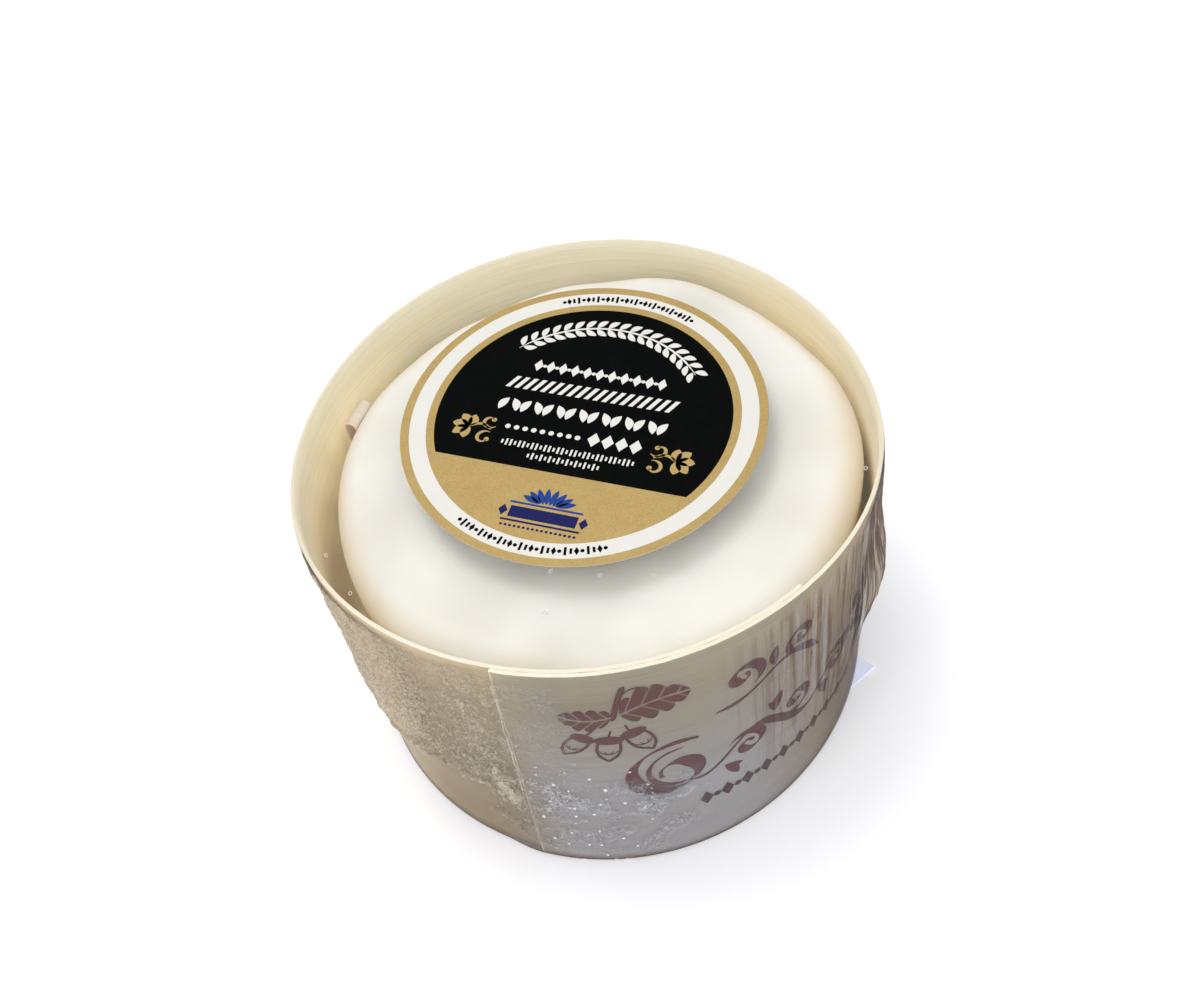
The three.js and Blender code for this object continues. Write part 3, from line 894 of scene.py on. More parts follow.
def filmFinish():
    # clear skin: it mirrors 0.022 + 0.04 x to the power 5, where x is 1 minus the cosine of the angle
    # to the eye. Down the sides it is less clear, and fine creases scatter light where the mark is
    # over 0, with painted highlight on their crests and painted shade in their hollows; over 0.9 the
    # mark adds a painted highlight along the ridge. Where the film stands off far left and right it is
    # cloudy; on the right the cloud and the pleats carry painted shade and painted highlight. Low in
    # front lie white painted glints under a painted cool reflection, the foot has a painted shadow
    # line, and a painted highlight runs along the seam
    finish = Finish("clear_film")
    place, mark = finish.object(), finish.mark()
    wrinkle = finish.noise(place, 900, 2, 0.5) * 0.6 + finish.noise(place, 260, 2, 0.5) * 0.4
    crumple = finish.creases(place, 820, 0.09) * 0.5 + finish.creases(place, 1500, 0.11) * 0.5
    shadowed = finish.creases(place, 740, 0.07) * 0.6 + finish.creases(place, 1500, 0.09) * 0.5
    pleats = finish.noise(finish.stretched(place, 1150, 1150, 26), 1, 3, 0.6)
    # pleat troughs get painted shade, their crests painted highlight
    deep, high = finish.between(pleats, 0.5, 0.41), finish.between(pleats, 0.53, 0.61)
    pleated = finish.region(film["pleated"])
    milk, light = finish.between(mark, 0.0, 0.8), finish.between(crumple, 0.2, 0.6)
    normal = finish.bump(wrinkle * 0.5 + crumple * milk + pleats * pleated, 0.14, 0.7)

    tint = finish.mix(finish.region(film["sides"]), white, film["sideTint"])
    # painted shade in the light let through: between pleats, in creases, in folds, and a painted shadow line
    # at the foot
    for share in (deep * pleated * 0.6, shadowed * milk * 0.32, finish.region(film["footShadowLine"]) * 0.8,
                  finish.between(mark, 0.0, -0.9)):
        tint = finish.mix(share, tint, film["foldShadeTint"])
    # crinkle crests whiter: partly whitened film, partly painted highlight
    warmMilk = finish.mix(crumple, film["haze"], film["crestHighlight"])
    # painted cool reflection on the haze in front
    coolMilk = finish.mix(crumple, film["coolReflectionHaze"], film["coolHighlight"])
    milky = {"Color": finish.mix(finish.region(film["coolReflection"]), warmMilk, coolMilk),
             "Normal": finish.bump(crumple, 0.3, 1.0)}
    # painted highlight along the seam
    seam = finish.vector("DOT_PRODUCT", place, (-math.sin(box["seam"]), math.cos(box["seam"]), 0), "Value")
    seam = finish.apart(seam + finish.noise(place, 60, 1, 0.5) * 0.0006, 0.0003)
    seamHighlight = finish.rise(seam, 0.17, 0.07) * finish.region(film["seamHighlight"])
    cloudLeft = finish.mix(light, film["bulgeHaze"], film["bulgeHighlight"])
    # on the right, the cloud carries painted shade between pleats and painted highlight on them
    pleatLightAndShade = finish.mix(deep, film["pleatShadeHaze"], film["pleatShade"])
    pleatLightAndShade = finish.mix(high, pleatLightAndShade, film["pleatHighlight"])
    cloudTint = finish.mix(finish.region(film["toRight"]), cloudLeft, pleatLightAndShade)
    cloud = finish.region(film["cloudyLeft"]) + finish.region(film["cloudyRight"])
    # painted glints: small white spots low in front
    cells = finish.node("ShaderNodeTexVoronoi", (), {"Vector": place, "Scale": 520.0}, "Distance")
    specks = finish.between(cells, 0.17, 0.11) * finish.region(film["glintSpots"])

    body = finish.clear(tint)
    for share, layer in (
        # milky haze, with painted highlight on the pleats' crests
        (milk * (light * 0.62 + 0.04) + high * pleated * 0.26 + 0.004,
         finish.node("ShaderNodeBsdfDiffuse", (), milky)),
        (finish.between(mark, 0.9, 1.4) * 0.45 + seamHighlight * 0.4, finish.diffuse(film["crestHighlight"])),
        (cloud * film["cloudiness"], finish.diffuse(cloudTint)),
        (specks * film["glintCover"], finish.diffuse(film["coolHighlight"])),
    ):
        body = finish.mixShader(share, body, layer)
    facing = finish.node("ShaderNodeLayerWeight", (), {"Blend": 0.5, "Normal": normal}, "Facing")
    sockets = {"Color": white, "Roughness": film["mirrorRoughness"], "Normal": normal}
    least, more = film["mirror"]
    return finish.end(finish.mixShader(
        facing ** 5 * more + least, body, finish.node("ShaderNodeBsdfGlossy", (), sockets)))


def innerFilmFinish():
    # the inner face adds no gloss of its own, only a very faint uneven tint
    finish = Finish("film_inside")
    cloud = finish.noise(finish.object(), 120, 2, 0.5)
    return finish.end(finish.clear(finish.mix(cloud, white, (0.99, 0.992, 0.995, 1))))


def ringPoints(azimuth, radius, level):
    return aroundAxis(azimuth, radius, level).reshape(-1, 3)


def sheetRelief(places):
    # faint hollows between the label and the rim: minus a sum of plane waves held above zero
    x, y = places[:, 0], places[:, 1]
    fromLabel = np.hypot(x - labelCentre[0], y - labelCentre[1]) - labelRadius
    fromRim = box["radius"] - np.hypot(x, y)
    free = smooth((fromLabel - 0.3) / 3) * smooth((fromRim - 0.6) / 3)
    return -0.05 * (1 + rippled(8, x, y, 14, 6) / 2).clip(0, 2) * free


def topSheet(rim, ventRings, spacing):
    # triangles that fill the rim's outline, with the vents left open, over staggered places
    reach = np.hypot(*rim.T).max()
    count = int(2 * reach / spacing) + 1
    column, row = np.meshgrid(np.arange(-count, count), np.arange(-count, count))
    field = np.stack([column + 0.5 * (row % 2), row * math.sqrt(3) / 2], -1).reshape(-1, 2) * spacing
    rimAt = np.arctan2(rim[:, 1], rim[:, 0])
    limit = np.interp(np.arctan2(field[:, 1], field[:, 0]), rimAt, np.hypot(*rim.T), period=turn)
    centres = np.array(film["vents"])
    apart = np.hypot(*(field[:, None] - centres[None]).transpose(2, 0, 1)).min(1)
    clear = apart > film["ventRadius"] + 0.35 * spacing
    field = field[(np.hypot(*field.T) < limit - 0.55 * spacing) & clear]
    places = np.concatenate([rim, ventRings, field])
    sides = film["ventSides"]
    ventEdges = len(rim) + np.stack([np.arange(len(ventRings)), nextAround(len(ventRings), sides)], -1)
    found = delaunay_2d_cdt([Vector(p) for p in places.tolist()], ventEdges.tolist(),
                            [list(range(len(rim)))], 1, 1e-6)
    faces = np.array([ids[0] for ids in found[3]])[np.array(found[2])]
    onVent = (faces >= len(rim)) & (faces < len(rim) + len(ventRings))
    vent = np.where(onVent, (faces - len(rim)) // sides, -1)
    filled = (vent[:, 0] >= 0) & (vent[:, 0] == vent[:, 1]) & (vent[:, 0] == vent[:, 2])
    faces = faces[~filled]
    a, b, c = places[faces[:, 0]], places[faces[:, 1]], places[faces[:, 2]]
    area = (b[:, 0] - a[:, 0]) * (c[:, 1] - a[:, 1]) - (b[:, 1] - a[:, 1]) * (c[:, 0] - a[:, 0])
    return places, np.where(area[:, None] > 0, faces, faces[:, ::-1])


def nextAround(count, sides):
    # the next number round each ring of so many sides
    numbers = np.arange(count)
    return numbers - numbers % sides + (numbers + 1) % sides


def makeFilm():
    # a crinkled outside and a plain inside, joined through the vents
    columns, rows, insideColumns = film["columns"], film["rows"], film["insideColumns"]
    inset, skin = film["round"], film["skin"]
    azimuth = roundTurn(columns)[None, :]
    low, high = filmFoot + inset, filmTop - inset
    z = np.linspace(low, high, rows)[:, None] + 0 * azimuth
    lift, milk = filmRelief(azimuth, z, turn * box["radius"] / columns, (high - low) / (rows - 1))
    wall = filmOutside(azimuth, np.minimum(z, rimHeight)) + lift
    arc = np.linspace(0, math.pi / 2, 4)[1:, None]
    outer = np.concatenate([
        ringPoints(azimuth, wall[:1] * 0.5, filmFoot),
        ringPoints(azimuth, wall[:1] - inset * (1 - np.cos(arc[::-1])), low - inset * np.sin(arc[::-1])),
        ringPoints(azimuth, wall, z),
        ringPoints(azimuth, wall[-1:] - inset * (1 - np.cos(arc)), high + inset * np.sin(arc)),
        ringPoints(azimuth, wall[-1:] - inset - np.array([[0.05], [0.12]]), filmTop),
    ])
    insideAzimuth = roundTurn(insideColumns)[None, :]
    levels = np.linspace(low, high, 16)[:, None]
    sleeve = filmOutside(insideAzimuth, levels) - skin
    inner = np.concatenate([
        ringPoints(insideAzimuth, sleeve[:1] * 0.5, filmFoot + skin),
        ringPoints(insideAzimuth, sleeve[:1] - inset, filmFoot + skin),
        ringPoints(insideAzimuth, sleeve, levels),
        ringPoints(insideAzimuth, sleeve[-1:] - inset - np.array([[0], [0.05], [0.12]]), filmTop - skin),
    ])
    sides = film["ventSides"]
    circle = roundTurn(sides)
    ventRing = film["ventRadius"] * np.stack([np.cos(circle), np.sin(circle)], -1)
    ventRings = (np.array(film["vents"])[:, None] + ventRing).reshape(-1, 2)
    upper, upperFaces = topSheet(outer[-columns:, :2], ventRings, film["topCell"])
    lower, lowerFaces = topSheet(inner[-insideColumns:, :2], ventRings, film["insideCell"])
    upper = np.column_stack([upper, filmTop + sheetRelief(upper)])[columns:]
    lower = np.column_stack([lower, filmTop - skin + 0 * lower[:, 0]])[insideColumns:]
    points = np.concatenate([outer, upper, inner, lower, [[0, 0, filmFoot], [0, 0, filmFoot + skin]]])
    # a sheet's first points are the last ring before it, so its faces are only moved on
    innerStart = len(outer) + len(upper)
    poles = innerStart + len(inner) + len(lower)
    upperFaces = upperFaces + len(outer) - columns
    lowerFaces = lowerFaces + innerStart + len(inner) - insideColumns
    ventTop = len(outer) + np.arange(len(ventRings))
    ventLow = innerStart + len(inner) + np.arange(len(ventRings))
    after = nextAround(len(ventRings), sides) - np.arange(len(ventRings))
    mark = np.zeros(len(points))
    start = columns * (1 + len(arc))
    mark[start:start + milk.size] = milk.ravel()
    shape = Shape()
    shape.add(points, [
        gridFaces(len(outer) // columns, columns),
        upperFaces,
        fanFaces(0, columns, poles)[:, ::-1],
        np.stack([ventTop, ventTop + after, ventLow + after, ventLow], -1),
        gridFaces(len(inner) // insideColumns, insideColumns)[:, ::-1] + innerStart,
        lowerFaces[:, ::-1],
        fanFaces(innerStart, insideColumns, poles + 1),
    ], [0, 0, 0, 0, 1, 1, 1], mark=mark)
    shape.make("shrinkFilm", [filmFinish(), innerFilmFinish()], ["film"], sharp=80 * degree)


def beadFinish():
    # film melted into a small clear ring
    finish = Finish("melted_bead")
    lumps = finish.noise(finish.object(), 2600, 2, 0.5)
    colour = finish.mix(lumps, film["beadLight"], film["beadDark"])
    solid = finish.principled(colour=colour, roughness=0.12, normal=finish.bump(lumps, 0.04, 0.5), gloss=0.6)
    return finish.end(finish.mixShader(0.4 + lumps * 0.3, finish.clear(white), solid))


def makeBeads():
    # a ring round each vent: a small circle carried round a slightly uneven large one
    shape = Shape()
    around = roundTurn(26)[:, None]
    tube = roundTurn(8)[None, :]
    for k, (x, y) in enumerate(film["vents"]):
        reach = film["ventRadius"] + 0.05 * np.sin(2 * around + k) + film["bead"] * np.cos(tube)
        z = filmTop - 0.03 + film["bead"] * (0.9 + 0.2 * np.sin(3 * around + k)) * np.sin(tube)
        points = aroundAxis(around, reach, z) + [x, y, 0]
        shape.add(points, [gridFaces(around.size, tube.size, True, True)])
    shape.make("ventBeads", [beadFinish()])


# Round paper label on the film

labelLow, labelHigh = boxOf("top_label")
labelCentre = (labelLow[:2] + labelHigh[:2]) / 2
labelRadius = (labelHigh[0] - labelLow[0]) / 2
label = {
    "turn": -26.4 * degree,
    "goldRing": 0.951,
    "whiteRing": 0.858,
    "goldLine": 0.813,
    "chord": -0.414,
    "markLift": 0.02,
    "garland": 0.665,
    # each ink's material, colour, colour and share of its specks, metal, gloss and roughness
    "inks": {
        "gold": ("gold_ink", paint(184, 157, 98), paint(156, 127, 69), 0.55, 0.25, 0.3, 0.42),
        "white": ("coated_paper", paint(226, 224, 216), paint(218, 216, 209), 0.6, 0.0, 0.25, 0.4),
        "black": ("black_ink", paint(6, 8, 7), paint(12, 14, 13), 0.8, 0.0, 0.015, 0.3),
        "blue": ("blue_ink", paint(34, 66, 140), paint(27, 33, 92), 0.3, 0.0, 0.1, 0.4),
        "navy": ("navy_ink", paint(27, 33, 92), paint(16, 20, 62), 0.6, 0.0, 0.08, 0.4),
    },
}
labelTop = labelHigh[2]


def onLabel(u, v, lift):
    # a place in label radii along its lines and up, turned with the label, and a lift over its top
    place = labelCentre + labelRadius * turned(np.stack([u, v], -1), label["turn"])
    return np.concatenate([place, labelTop + lift + 0 * place[..., :1]], -1)


def inkFinish(name, colour, deep, speckle, metal, gloss, roughness):
    # printed ink on coated paper: fine speckle from one colour to the other, paper grain under it
    finish = Finish(name)
    place = finish.object()
    grit = finish.noise(place, 5200, 2, 0.6)
    cloud = finish.noise(place, 420, 3, 0.5)
    share = finish.between(grit * 0.75 + cloud * 0.25, 0.4, 0.66) * speckle
    normal = finish.bump(finish.noise(place, 900, 3, 0.6), 0.03, 0.35)
    return finish.solid(colour=finish.mix(share, colour, deep), roughness=roughness + grit * 0.12,
                        normal=normal, gloss=gloss, metal=metal)


def labelFinishes():
    return {key: inkFinish(*values) for key, values in label["inks"].items()}


def makeLabel(finishes):
    # a thin disc whose upper face is split into rings and, by a chord, into two parts
    corner = math.asin(label["chord"] / label["goldLine"])
    upperArc = np.linspace(corner, math.pi - corner, 180, endpoint=False)
    lowerArc = np.linspace(math.pi - corner, turn + corner, 96, endpoint=False)
    angle = np.concatenate([upperArc, lowerArc])
    count = len(angle)
    low = labelLow[2] - labelTop
    rings = [(1, low), (1, 0), (label["goldRing"], 0), (label["whiteRing"], 0), (label["goldLine"], 0)]
    points = np.concatenate([onLabel(r * np.cos(angle), r * np.sin(angle), z) for r, z in rings])
    last = (len(rings) - 1) * count
    sides = gridFaces(len(rings), count)
    turning = last + len(upperArc)
    upper = np.arange(last, turning + 1)[None, :]
    lower = np.append(np.arange(turning, last + count), last)[None, :]
    under = np.arange(count)[None, ::-1]
    finish = np.repeat([1, 0, 1, 0], count)
    shape = Shape()
    shape.add(points, [sides, upper, lower, under], [finish, 2, 0, 1])
    order = ["gold", "white", "black"]
    shape.make("roundLabel", [finishes[key] for key in order], ["top_label"], sharp=30 * degree)


def addMark(shape, grid, finish=0):
    addPlate(shape, grid, onLabel, -0.04, label["markLift"], finish=finish)


def addRow(shape, grid, places, y, finish=0):
    # the same mark at each of the places along x
    for x in places:
        addMark(shape, grid + [x, y], finish)


def arcPlace(radius, angle):
    return radius * math.cos(angle), radius * math.sin(angle)


def whiteMarks(shape):
    # a garland on an arc over rows of lozenges, twisted bars, leaves, studs and fine bars
    arc, radius = np.linspace(141, 39, 90) * degree, label["garland"]
    addMark(shape, strokeMark(radius * np.cos(arc), radius * np.sin(arc), 0.012, 0.012))
    for angle in np.linspace(139, 41, 19) * degree:
        for side in (1, -1):
            leaf = leafMark(0.078, 0.036, 0.006 * side)
            heading = angle - 90 * degree + side * 42 * degree
            addMark(shape, turned(leaf, heading, *arcPlace(radius + side * 0.006, angle)))
    addRow(shape, lozengeMark(0.052, 0.088), steps(11, 0.072), 0.31)
    addRow(shape, discMark(0.011), steps(10, 0.072), 0.31)
    addRow(shape, barMark(0.026, 0.086, 0.5), steps(19, 0.051), 0.165)
    for k, x in enumerate(steps(15, 0.065, -0.018)):
        way = -1 if k % 2 else 1
        addMark(shape, turned(leafMark(0.094, 0.046, 0.008), way * 68 * degree, x, -0.044 * way))
    addRow(shape, discMark(0.0155), steps(9, 0.05, -0.175), -0.155)
    addRow(shape, lozengeMark(0.07, 0.098), steps(4, 0.078, 0.232), -0.15)
    for count, every, short, y in ((31, 3, 0.026, -0.262), (17, 2, 0.024, -0.33)):
        for k, x in enumerate(steps(count, 0.0245)):
            addMark(shape, barMark(0.011, 0.044 if k % every else short) + [x, y])


def goldMarks(shape):
    # on each side a spray of five leaves with two curling stems that end in a bulb
    x, y = 0.585, -0.2
    t = np.linspace(0, 1, 24)
    grids = [strokeMark(x - 0.125 * t, y + 0.03 * np.sin(math.pi * t), 0.016, 0.016)]
    for heading, long in ((95, 0.085), (50, 0.1), (5, 0.1), (-40, 0.1), (-85, 0.085)):
        grids.append(turned(leafMark(long, 0.058, 0.006, 8, 0.65), heading * degree, x, y))
    for turns, start, lift in ((0.78, 215, 0.055), (-0.78, 120, -0.062)):
        curlX, curlY = curlLine(x - 0.105, y + lift, 0.05, start * degree, turns, 0.16, 40)
        grids += [strokeMark(curlX, curlY, 0.012, 0.02, 0, 0.25), discMark(0.0145) + [curlX[-1], curlY[-1]]]
    for side in (1, -1):
        for grid in grids:
            addMark(shape, grid * [side, 1])


def badgeMarks(shape):
    # a blue fan over a dark band with studs and a fine line; finish 0 is blue and 1 is dark
    middle, band = 0.02, -0.7
    for heading in np.arange(20, 161, 20) * degree:
        x = middle + 0.05 * math.cos(heading)
        addMark(shape, turned(leafMark(0.105, 0.034, 0, 8, 0.7), heading, x, -0.625))
    addMark(shape, barMark(0.4, 0.012) + [middle, -0.64])
    addMark(shape, barMark(0.37, 0.072) + [middle, band], 1)
    addRow(shape, lozengeMark(0.05, 0.072), steps(2, 0.44, middle), band, 1)
    addMark(shape, barMark(0.43, 0.012) + [middle, -0.757], 1)
    addRow(shape, discMark(0.008), steps(17, 0.025, middle), -0.79, 1)


def rimMarks(shape):
    # dots, bars and lozenges in turn, along two arcs of the white ring
    radius = (label["goldRing"] + label["whiteRing"]) / 2
    kinds = discMark(0.011), barMark(0.014, 0.05), barMark(0.014, 0.034), lozengeMark(0.028, 0.05)
    for centre, reach in ((90, 25), (-90, 26)):
        for k, angle in enumerate(np.linspace(centre - reach, centre + reach, 29) * degree):
            addMark(shape, turned(kinds[k % 4], angle - 90 * degree, *arcPlace(radius, angle)))


def makeLabelMarks(finishes):
    prints = (("whiteMarks", whiteMarks, ["white"]), ("goldMarks", goldMarks, ["gold"]),
              ("badgeMarks", badgeMarks, ["blue", "navy"]), ("rimMarks", rimMarks, ["black"]))
    for name, draw, keys in prints:
        shape = Shape()
        draw(shape)
        shape.make(name, [finishes[key] for key in keys], sharp=30 * degree)


# Print on the strip, in brown ink through which the grain shows

printed = {
    "low": -0.05,
    "high": 0.03,
    "nib": 38 * degree,
    "strength": 0.93,
    "ink": paint(86, 25, 30),
    "inkDark": paint(60, 28, 24),
    # painted shade on the ink to the right
    "right": [("x", 14, 34)],
    "lowRow": [("z", 18.5, 16)],
}


def stampFinish():
    # the wood's colour with its painted shade, darkened by ink except in the veins and where the grain
    # stays bare; the ink is darker in patches and in the lowest row, and darker to the right with painted
    # shade
    finish = Finish("stamped_ink")
    colour, grain = woodColour(finish, finish.flat(), 1.0)
    bare = finish.noise(finish.stretched(finish.flat(), 9, 420), 1, 3, 0.65)
    wear = finish.noise(finish.flat(), 26, 3, 0.6)
    cover = finish.between(bare * 0.7 + wear * 0.3, 0.7, 0.5) * 0.32 + 0.68
    cover = cover * (1 - finish.mark() * 0.85) * printed["strength"]
    # painted shade darkens the ink to the right; patches of wear darken it anywhere
    shadeAndWear = finish.region(printed["right"]) * 0.6 + finish.between(wear, 0.45, 0.7) * 0.4
    ink = finish.mix(shadeAndWear, printed["ink"], printed["inkDark"])
    ink = finish.mix(finish.region(printed["lowRow"]), ink, printed["inkDark"])
    return finish.solid(colour=finish.mix(cover, colour, ink), roughness=0.62,
                        normal=finish.bump(grain, 0.05, 0.7), gloss=0.25)


def addPrint(shape, grid, mark=None):
    addPlate(shape, grid, onStrip, printed["low"], printed["high"], mark=mark)


def addStroke(shape, x, y, thin, thick, taper=0.14):
    addPrint(shape, strokeMark(x, y, thin, thick, printed["nib"], taper))


def oakLeaf(shape, x, z, heading, long, wide):
    # half width is a sine along the leaf times four round lobes; the veins are bare lines
    t, across = np.meshgrid(np.linspace(0.005, 0.995, 120), np.linspace(-1, 1, 33), indexing="ij")
    lobes = 0.56 + 0.44 * np.abs(np.sin(math.pi * 4 * t)) ** 0.55
    half = wide / 2 * np.sin(math.pi * t ** 0.8) ** 0.6 * lobes
    bow = 0.9 * np.sin(math.pi * t)
    y = across * half
    rib = 1 - smooth((np.abs(y) - 0.12) / 0.12)
    spacing = long / 4
    branch = (t * long - 0.7 * np.abs(y) + 0.75 * spacing) % spacing
    fine = 1 - smooth((np.minimum(branch, spacing - branch) - 0.05) / 0.12)
    mark = np.maximum(rib, 0.85 * fine * smooth((np.abs(y) - 0.05) / 0.3))
    addPrint(shape, turned(np.stack([t * long, y + bow], -1), heading, x, z), mark)


def acorn(shape, x, z, heading, long):
    # an outlined nut with two contour lines, and a filled cup with a short stalk
    angle = np.linspace(-140, 140, 48) * degree
    nutX, nutY = 0.62 * long * np.cos(angle), 0.34 * long * np.sin(angle)
    nutX = nutX + 0.1 * long * bell(angle, 0.22)

    def put(grid):
        addPrint(shape, turned(grid, heading, x, z))

    put(strokeMark(nutX, nutY, 0.36, 0.46, None, 0.05))
    inner = np.linspace(-60, 60, 20) * degree
    for share in (0.62, 0.3):
        lineX, lineY = 0.4 * long * np.cos(inner) - 0.06 * long, share * 0.5 * long * np.sin(inner)
        put(strokeMark(lineX, lineY, 0.14, 0.2, None, 0.3))
    cup = leafMark(0.86 * long, 0.44 * long, 0, 12, 0.45) - [0.43 * long, 0]
    put(turned(cup, 90 * degree, -0.42 * long, 0))
    stalkX, stalkY = np.linspace(-0.62, -0.95, 12) * long, 0.06 * long * np.linspace(0, 1, 12) ** 2
    put(strokeMark(stalkX, stalkY, 0.3, 0.3, None, 0.05))


def sprig(shape):
    # a stalk with one large and one small leaf, three nuts and a curling tendril
    t = np.linspace(0, 1, 30)
    addPrint(shape, strokeMark(17.6 - 2.4 * t, 49.4 - 8.2 * t ** 1.3, 0.6, 0.9, None, 0.08))
    oakLeaf(shape, 16.4, 42.6, 12 * degree, 10.2, 8.2)
    oakLeaf(shape, 15.2, 42.2, 172 * degree, 7.4, 5.6)
    acorn(shape, 18.6, 35.6, -64 * degree, 4.9)
    acorn(shape, 14.0, 34.2, -96 * degree, 4.9)
    acorn(shape, 9.6, 35.8, -126 * degree, 4.5)
    x, z = curlLine(19.4, 46.6, 2.6, 190 * degree, -1.35, 0.2)
    addStroke(shape, x, z, 0.22, 0.5)


def scroll(shape, x, z, radius, start, turns, thick, tighten=0.2):
    # a spiral stroke that ends in a bulb
    curlX, curlZ = curlLine(x, z, radius, start * degree, turns, tighten)
    addStroke(shape, curlX, curlZ, 0.28, thick)
    addPrint(shape, discMark(0.42) + [curlX[-1], curlZ[-1]])


def rinceau(shape):
    # a running stem with spirals thrown off to either side and a leaf at each fork
    scroll(shape, 22.6, 24.2, 8.6, 62, 1.35, 2.9, 0.17)
    scroll(shape, 23.6, 24.8, 5.6, 84, 0.62, 1.1, 0.1)
    s = np.linspace(25, 63, 120)
    addStroke(shape, s, 23.4 + 0.06 * (s - 25) + 3.1 * np.sin(turn * (s - 31) / 19), 0.4, 1.8, taper=0.06)
    for x, z, radius, start, turns in ((34.4, 23.6, 3.9, 150, -1.3), (43.4, 26.6, 3.9, 210, 1.3),
                                       (53.4, 25.4, 3.9, 150, -1.3), (61.5, 28.2, 3.2, 210, 1.3)):
        scroll(shape, x, z, radius, start, turns, 1.8)
    for x, z, heading in ((30.2, 20.6, -62), (39.2, 27.8, 72), (48.6, 23.2, -66), (58, 30.2, 70)):
        addPrint(shape, turned(leafMark(4.4, 1.7, 0.3, 14, 0.8), heading * degree, x, z))
        addPrint(shape, turned(leafMark(3.2, 1.2, -0.25, 14, 0.8), (heading + 38) * degree, x, z))


def flourish(shape):
    # two spirals that face each other over a thick and thin curve
    scroll(shape, 34.2, 42, 3.6, 300, 1.25, 2.0)
    scroll(shape, 44.4, 42.6, 3.1, 240, -1.25, 1.6)
    t = np.linspace(0, 1, 60)
    addStroke(shape, 29.6 + 18.5 * t, 36 + 3.2 * np.sin(math.pi * t) - 1.6 * np.sin(turn * t), 0.35, 1.6)
    addPrint(shape, turned(leafMark(4.6, 1.6, 0.4, 14, 0.8), 84 * degree, 39.4, 40))


def studRow(shape):
    # lozenges and dots in turn
    for k in range(19):
        grid = discMark(0.6) if k % 2 else lozengeMark(2.2, 3.7)
        addPrint(shape, grid + [26.8 + 1.75 * k, 13.4 + 0.02 * (k // 2)])


def makePrint():
    shape = Shape()
    for draw in (sprig, rinceau, flourish, studRow):
        draw(shape)
    shape.make("stampedPrint", [stampFinish()], sharp=60 * degree)


# Paper tab between the cheese and the strip, folded over at its top

tab = {
    "azimuth": 151 * degree,
    "width": 5.3,
    "paper": 0.24,
    "foot": 39.75,
    "outerLeg": 41.1,
    "innerLeg": 39.3,
    "bendHeight": 44.1,
    "innerDrop": 0.15,
    "colour": paint(239, 230, 216),
    "shade": paint(230, 218, 200),
    # painted glow that lightens the tab's shade
    "glow": (0.055, 0.045, 0.035, 1),
}


def paperFinish(name, sheet, depth):
    # fibres and faint creases in a pale sheet that lets a little light into it, with a painted glow:
    # a faint emission that stands in for light from round it
    finish = Finish(name)
    place = finish.object()
    fibres = finish.noise(finish.stretched(place, 900, 2600, 900), 1, 3, 0.6)
    creases = finish.noise(place, 240, 2, 0.4)
    share = finish.between(fibres * 0.5 + creases * 0.5, 0.38, 0.66)
    normal = finish.bump(fibres * 0.4 + creases * 0.6, 0.08, 0.5)
    return finish.solid(
        colour=finish.mix(share, sheet["colour"], sheet["shade"]), roughness=0.5 + fibres * 0.15,
        normal=normal, gloss=0.3, depth=depth, depthRadius=(1.0, 0.9, 0.85), depthScale=1.2 * mm,
        glow=sheet["glow"], glowStrength=1.0)


def makeTab():
    # a rectangle carried up the outer leg, over a half circle and down the inner leg; its width
    # goes by 1 plus 0.03 times the sine of a third of the height
    middle, bend = (tab["outerLeg"] + tab["innerLeg"]) / 2, (tab["outerLeg"] - tab["innerLeg"]) / 2
    floorTop = boxOf("liner_tab")[0][2]
    lean = np.concatenate([np.zeros(8), np.linspace(0, math.pi, 17), np.full(6, math.pi)])
    z = np.concatenate([np.linspace(floorTop, tab["bendHeight"], 9)[:-1],
                        tab["bendHeight"] + bend * np.sin(np.linspace(0, math.pi, 17)),
                        tab["bendHeight"] - np.linspace(0, tab["innerDrop"], 7)[1:]])
    radius = middle + bend * np.cos(lean)
    radius[:8] = np.linspace(tab["foot"], tab["outerLeg"], 9)[:-1]
    across = np.linspace(-1, 1, 9) * tab["width"] / 2
    face = tab["paper"] / 2
    section = [(a, -face) for a in across] + [(a, face) for a in across[::-1]]
    side, out = np.array(section).T
    flare = 1 + 0.03 * np.sin(z / 3)
    r = radius[:, None] + out * np.cos(lean)[:, None]
    r = r + 0.05 * np.sin(side * 1.9) * smooth((z - 8) / 20)[:, None]
    level = z[:, None] + out * np.sin(lean)[:, None] + 0 * side
    c, s = math.cos(tab["azimuth"]), math.sin(tab["azimuth"])
    wide = side * flare[:, None]
    points = np.stack([r * c - wide * s, r * s + wide * c, level], -1)
    rows, columns = len(z), len(side)
    ends = np.stack([np.arange(columns)[::-1], (rows - 1) * columns + np.arange(columns)])
    shape = Shape()
    shape.add(points, [gridFaces(rows, columns), ends], flat=np.stack([wide, level], -1))
    shape.make("linerTab", [paperFinish("tab_paper", tab, 0.2)], ["liner_tab"])


# Square label under the foot, with one corner past it

under = {
    "side": 42,
    "tipAzimuth": -23.3 * degree,
    "tipRadius": 45,
    "turn": -13 * degree,
    "thick": 0.11,
    "curl": 0.35,
    "curlFrom": 42.6,
    "colour": paint(248, 250, 255),
    "shade": paint(240, 243, 254),
    # painted bluish glow that lightens the shaded corner
    "glow": (0.12, 0.15, 0.235, 1),
}


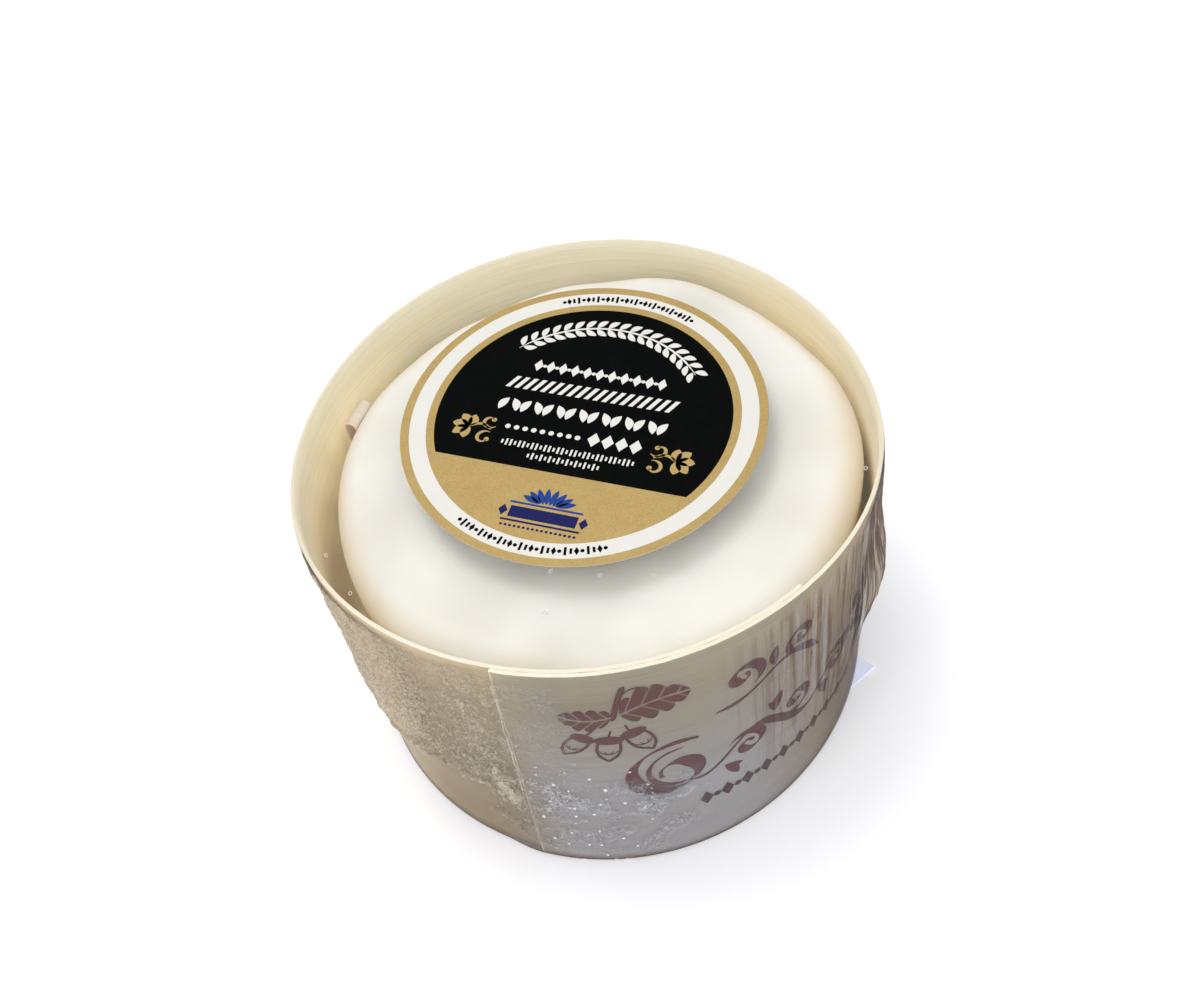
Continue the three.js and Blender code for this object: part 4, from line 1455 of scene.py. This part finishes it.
def onTable(x, y, lift):
    # a place on the sheet, turned and moved; past the foot of the box it curls up a little
    reach = under["side"] / math.sqrt(2)
    centre = (np.array(arcPlace(under["tipRadius"], under["tipAzimuth"]))
              - arcPlace(reach, under["turn"]))
    place = turned(np.stack([x, y], -1), under["turn"] + 45 * degree, *centre)
    past = np.hypot(place[..., :1], place[..., 1:]) - under["curlFrom"]
    return np.concatenate([place, lift + under["curl"] * smooth(past / 3) ** 2], -1)


def makeBaseLabel():
    side = np.linspace(-under["side"] / 2, under["side"] / 2, 57)
    x, y = np.meshgrid(side, side, indexing="ij")
    shape = Shape()
    addPlate(shape, np.stack([x, y], -1), onTable, 0, under["thick"])
    finish = paperFinish("base_paper", under, 0.1)
    shape.make("baseLabel", [finish], ["base_label"], sharp=50 * degree)


# Pieces

makeWall()
makeFloor()
makeCheese()
makeFilm()
makeBeads()
labelInks = labelFinishes()
makeLabel(labelInks)
makeLabelMarks(labelInks)
makePrint()
makeTab()
makeBaseLabel()
print("pieces made")

# Table, light and camera

studio = {
    "table": paint(249, 249, 251),
    "tableGrey": paint(244, 244, 247),
    "tableHalf": 12,
    "tableGlow": (0.17, 0.17, 0.173, 1),
    "horizon": (0.46, 0.463, 0.47, 1),
    "zenith": (1.42, 1.425, 1.44, 1),
    # each lamp's name, place, size and power
    "lamps": [("keyLamp", (-0.2, 0.22, 1.0), 0.4, 2.1), ("glintLamp", (-0.42, -0.36, 0.30), 0.1, 0.3)],
}
camera = {
    "place": (-0.233, -137.251, 204.829),
    "pitch": 50.8284 * degree,
    "roll": -10.5012 * degree,
    "lens": 42.0,
    "sensor": 36.0,
    "nearest": 0.01,
}


def makeTable():
    finish = Finish("pale_table")
    cloud = finish.noise(finish.object(), 6, 2, 0.5)
    finish.solid(colour=finish.mix(cloud * 0.2, studio["table"], studio["tableGrey"]),
                 roughness=0.85, gloss=0.1, glow=studio["tableGlow"], glowStrength=1.0)
    mesh = bpy.data.meshes.new("table")
    corners = np.array([(-1, -1, 0), (1, -1, 0), (1, 1, 0), (-1, 1, 0)]) * studio["tableHalf"]
    mesh.from_pydata(corners.tolist(), [], [(0, 1, 2, 3)])
    mesh.materials.append(finish.material)
    table = addObject("table", mesh)


def makeSky():
    # from the horizon's colour to the zenith's by the square of the height of the direction
    finish = Finish("sky", "worlds")
    height = finish.split(finish.node("ShaderNodeTexCoord", output="Generated"), 2)
    rise = finish.node("ShaderNodeClamp", (), {"Value": height})
    colour = finish.mix(rise * rise, studio["horizon"], studio["zenith"])
    light = finish.node("ShaderNodeBackground", (), {"Color": colour, "Strength": 1.0})
    finish.end(light, "ShaderNodeOutputWorld")
    bpy.context.scene.world = finish.material


def makeLamp(name, place, size, power):
    # a square lamp that faces the middle of the box
    data = bpy.data.lights.new(name, "AREA")
    data.size, data.energy = size, power
    lamp = addObject(name, data)
    lamp.location = place
    ray = Vector((0, 0, 0.03)) - Vector(place)
    lamp.rotation_euler = ray.to_track_quat("-Z", "Y").to_euler()


def makeCamera():
    # it looks straight down, is raised until it looks as far below the level as its pitch, and is
    # then turned about its own line of sight by its roll
    data = bpy.data.cameras.new("camera")
    data.lens, data.sensor_width, data.sensor_fit = camera["lens"], camera["sensor"], "HORIZONTAL"
    data.clip_start = camera["nearest"]
    eye = addObject("camera", data)
    raised = Matrix.Rotation(math.pi / 2 - camera["pitch"], 4, "X")
    rolled = Matrix.Rotation(camera["roll"], 4, "Z")
    eye.matrix_world = Matrix.Translation(Vector(camera["place"]) * mm) @ raised @ rolled
    bpy.context.scene.camera = eye


makeTable()
for lamp in studio["lamps"]:
    makeLamp(*lamp)
makeSky()
bpy.context.scene.view_settings.view_transform = "Standard"
makeCamera()
print("table, lamps and camera made")
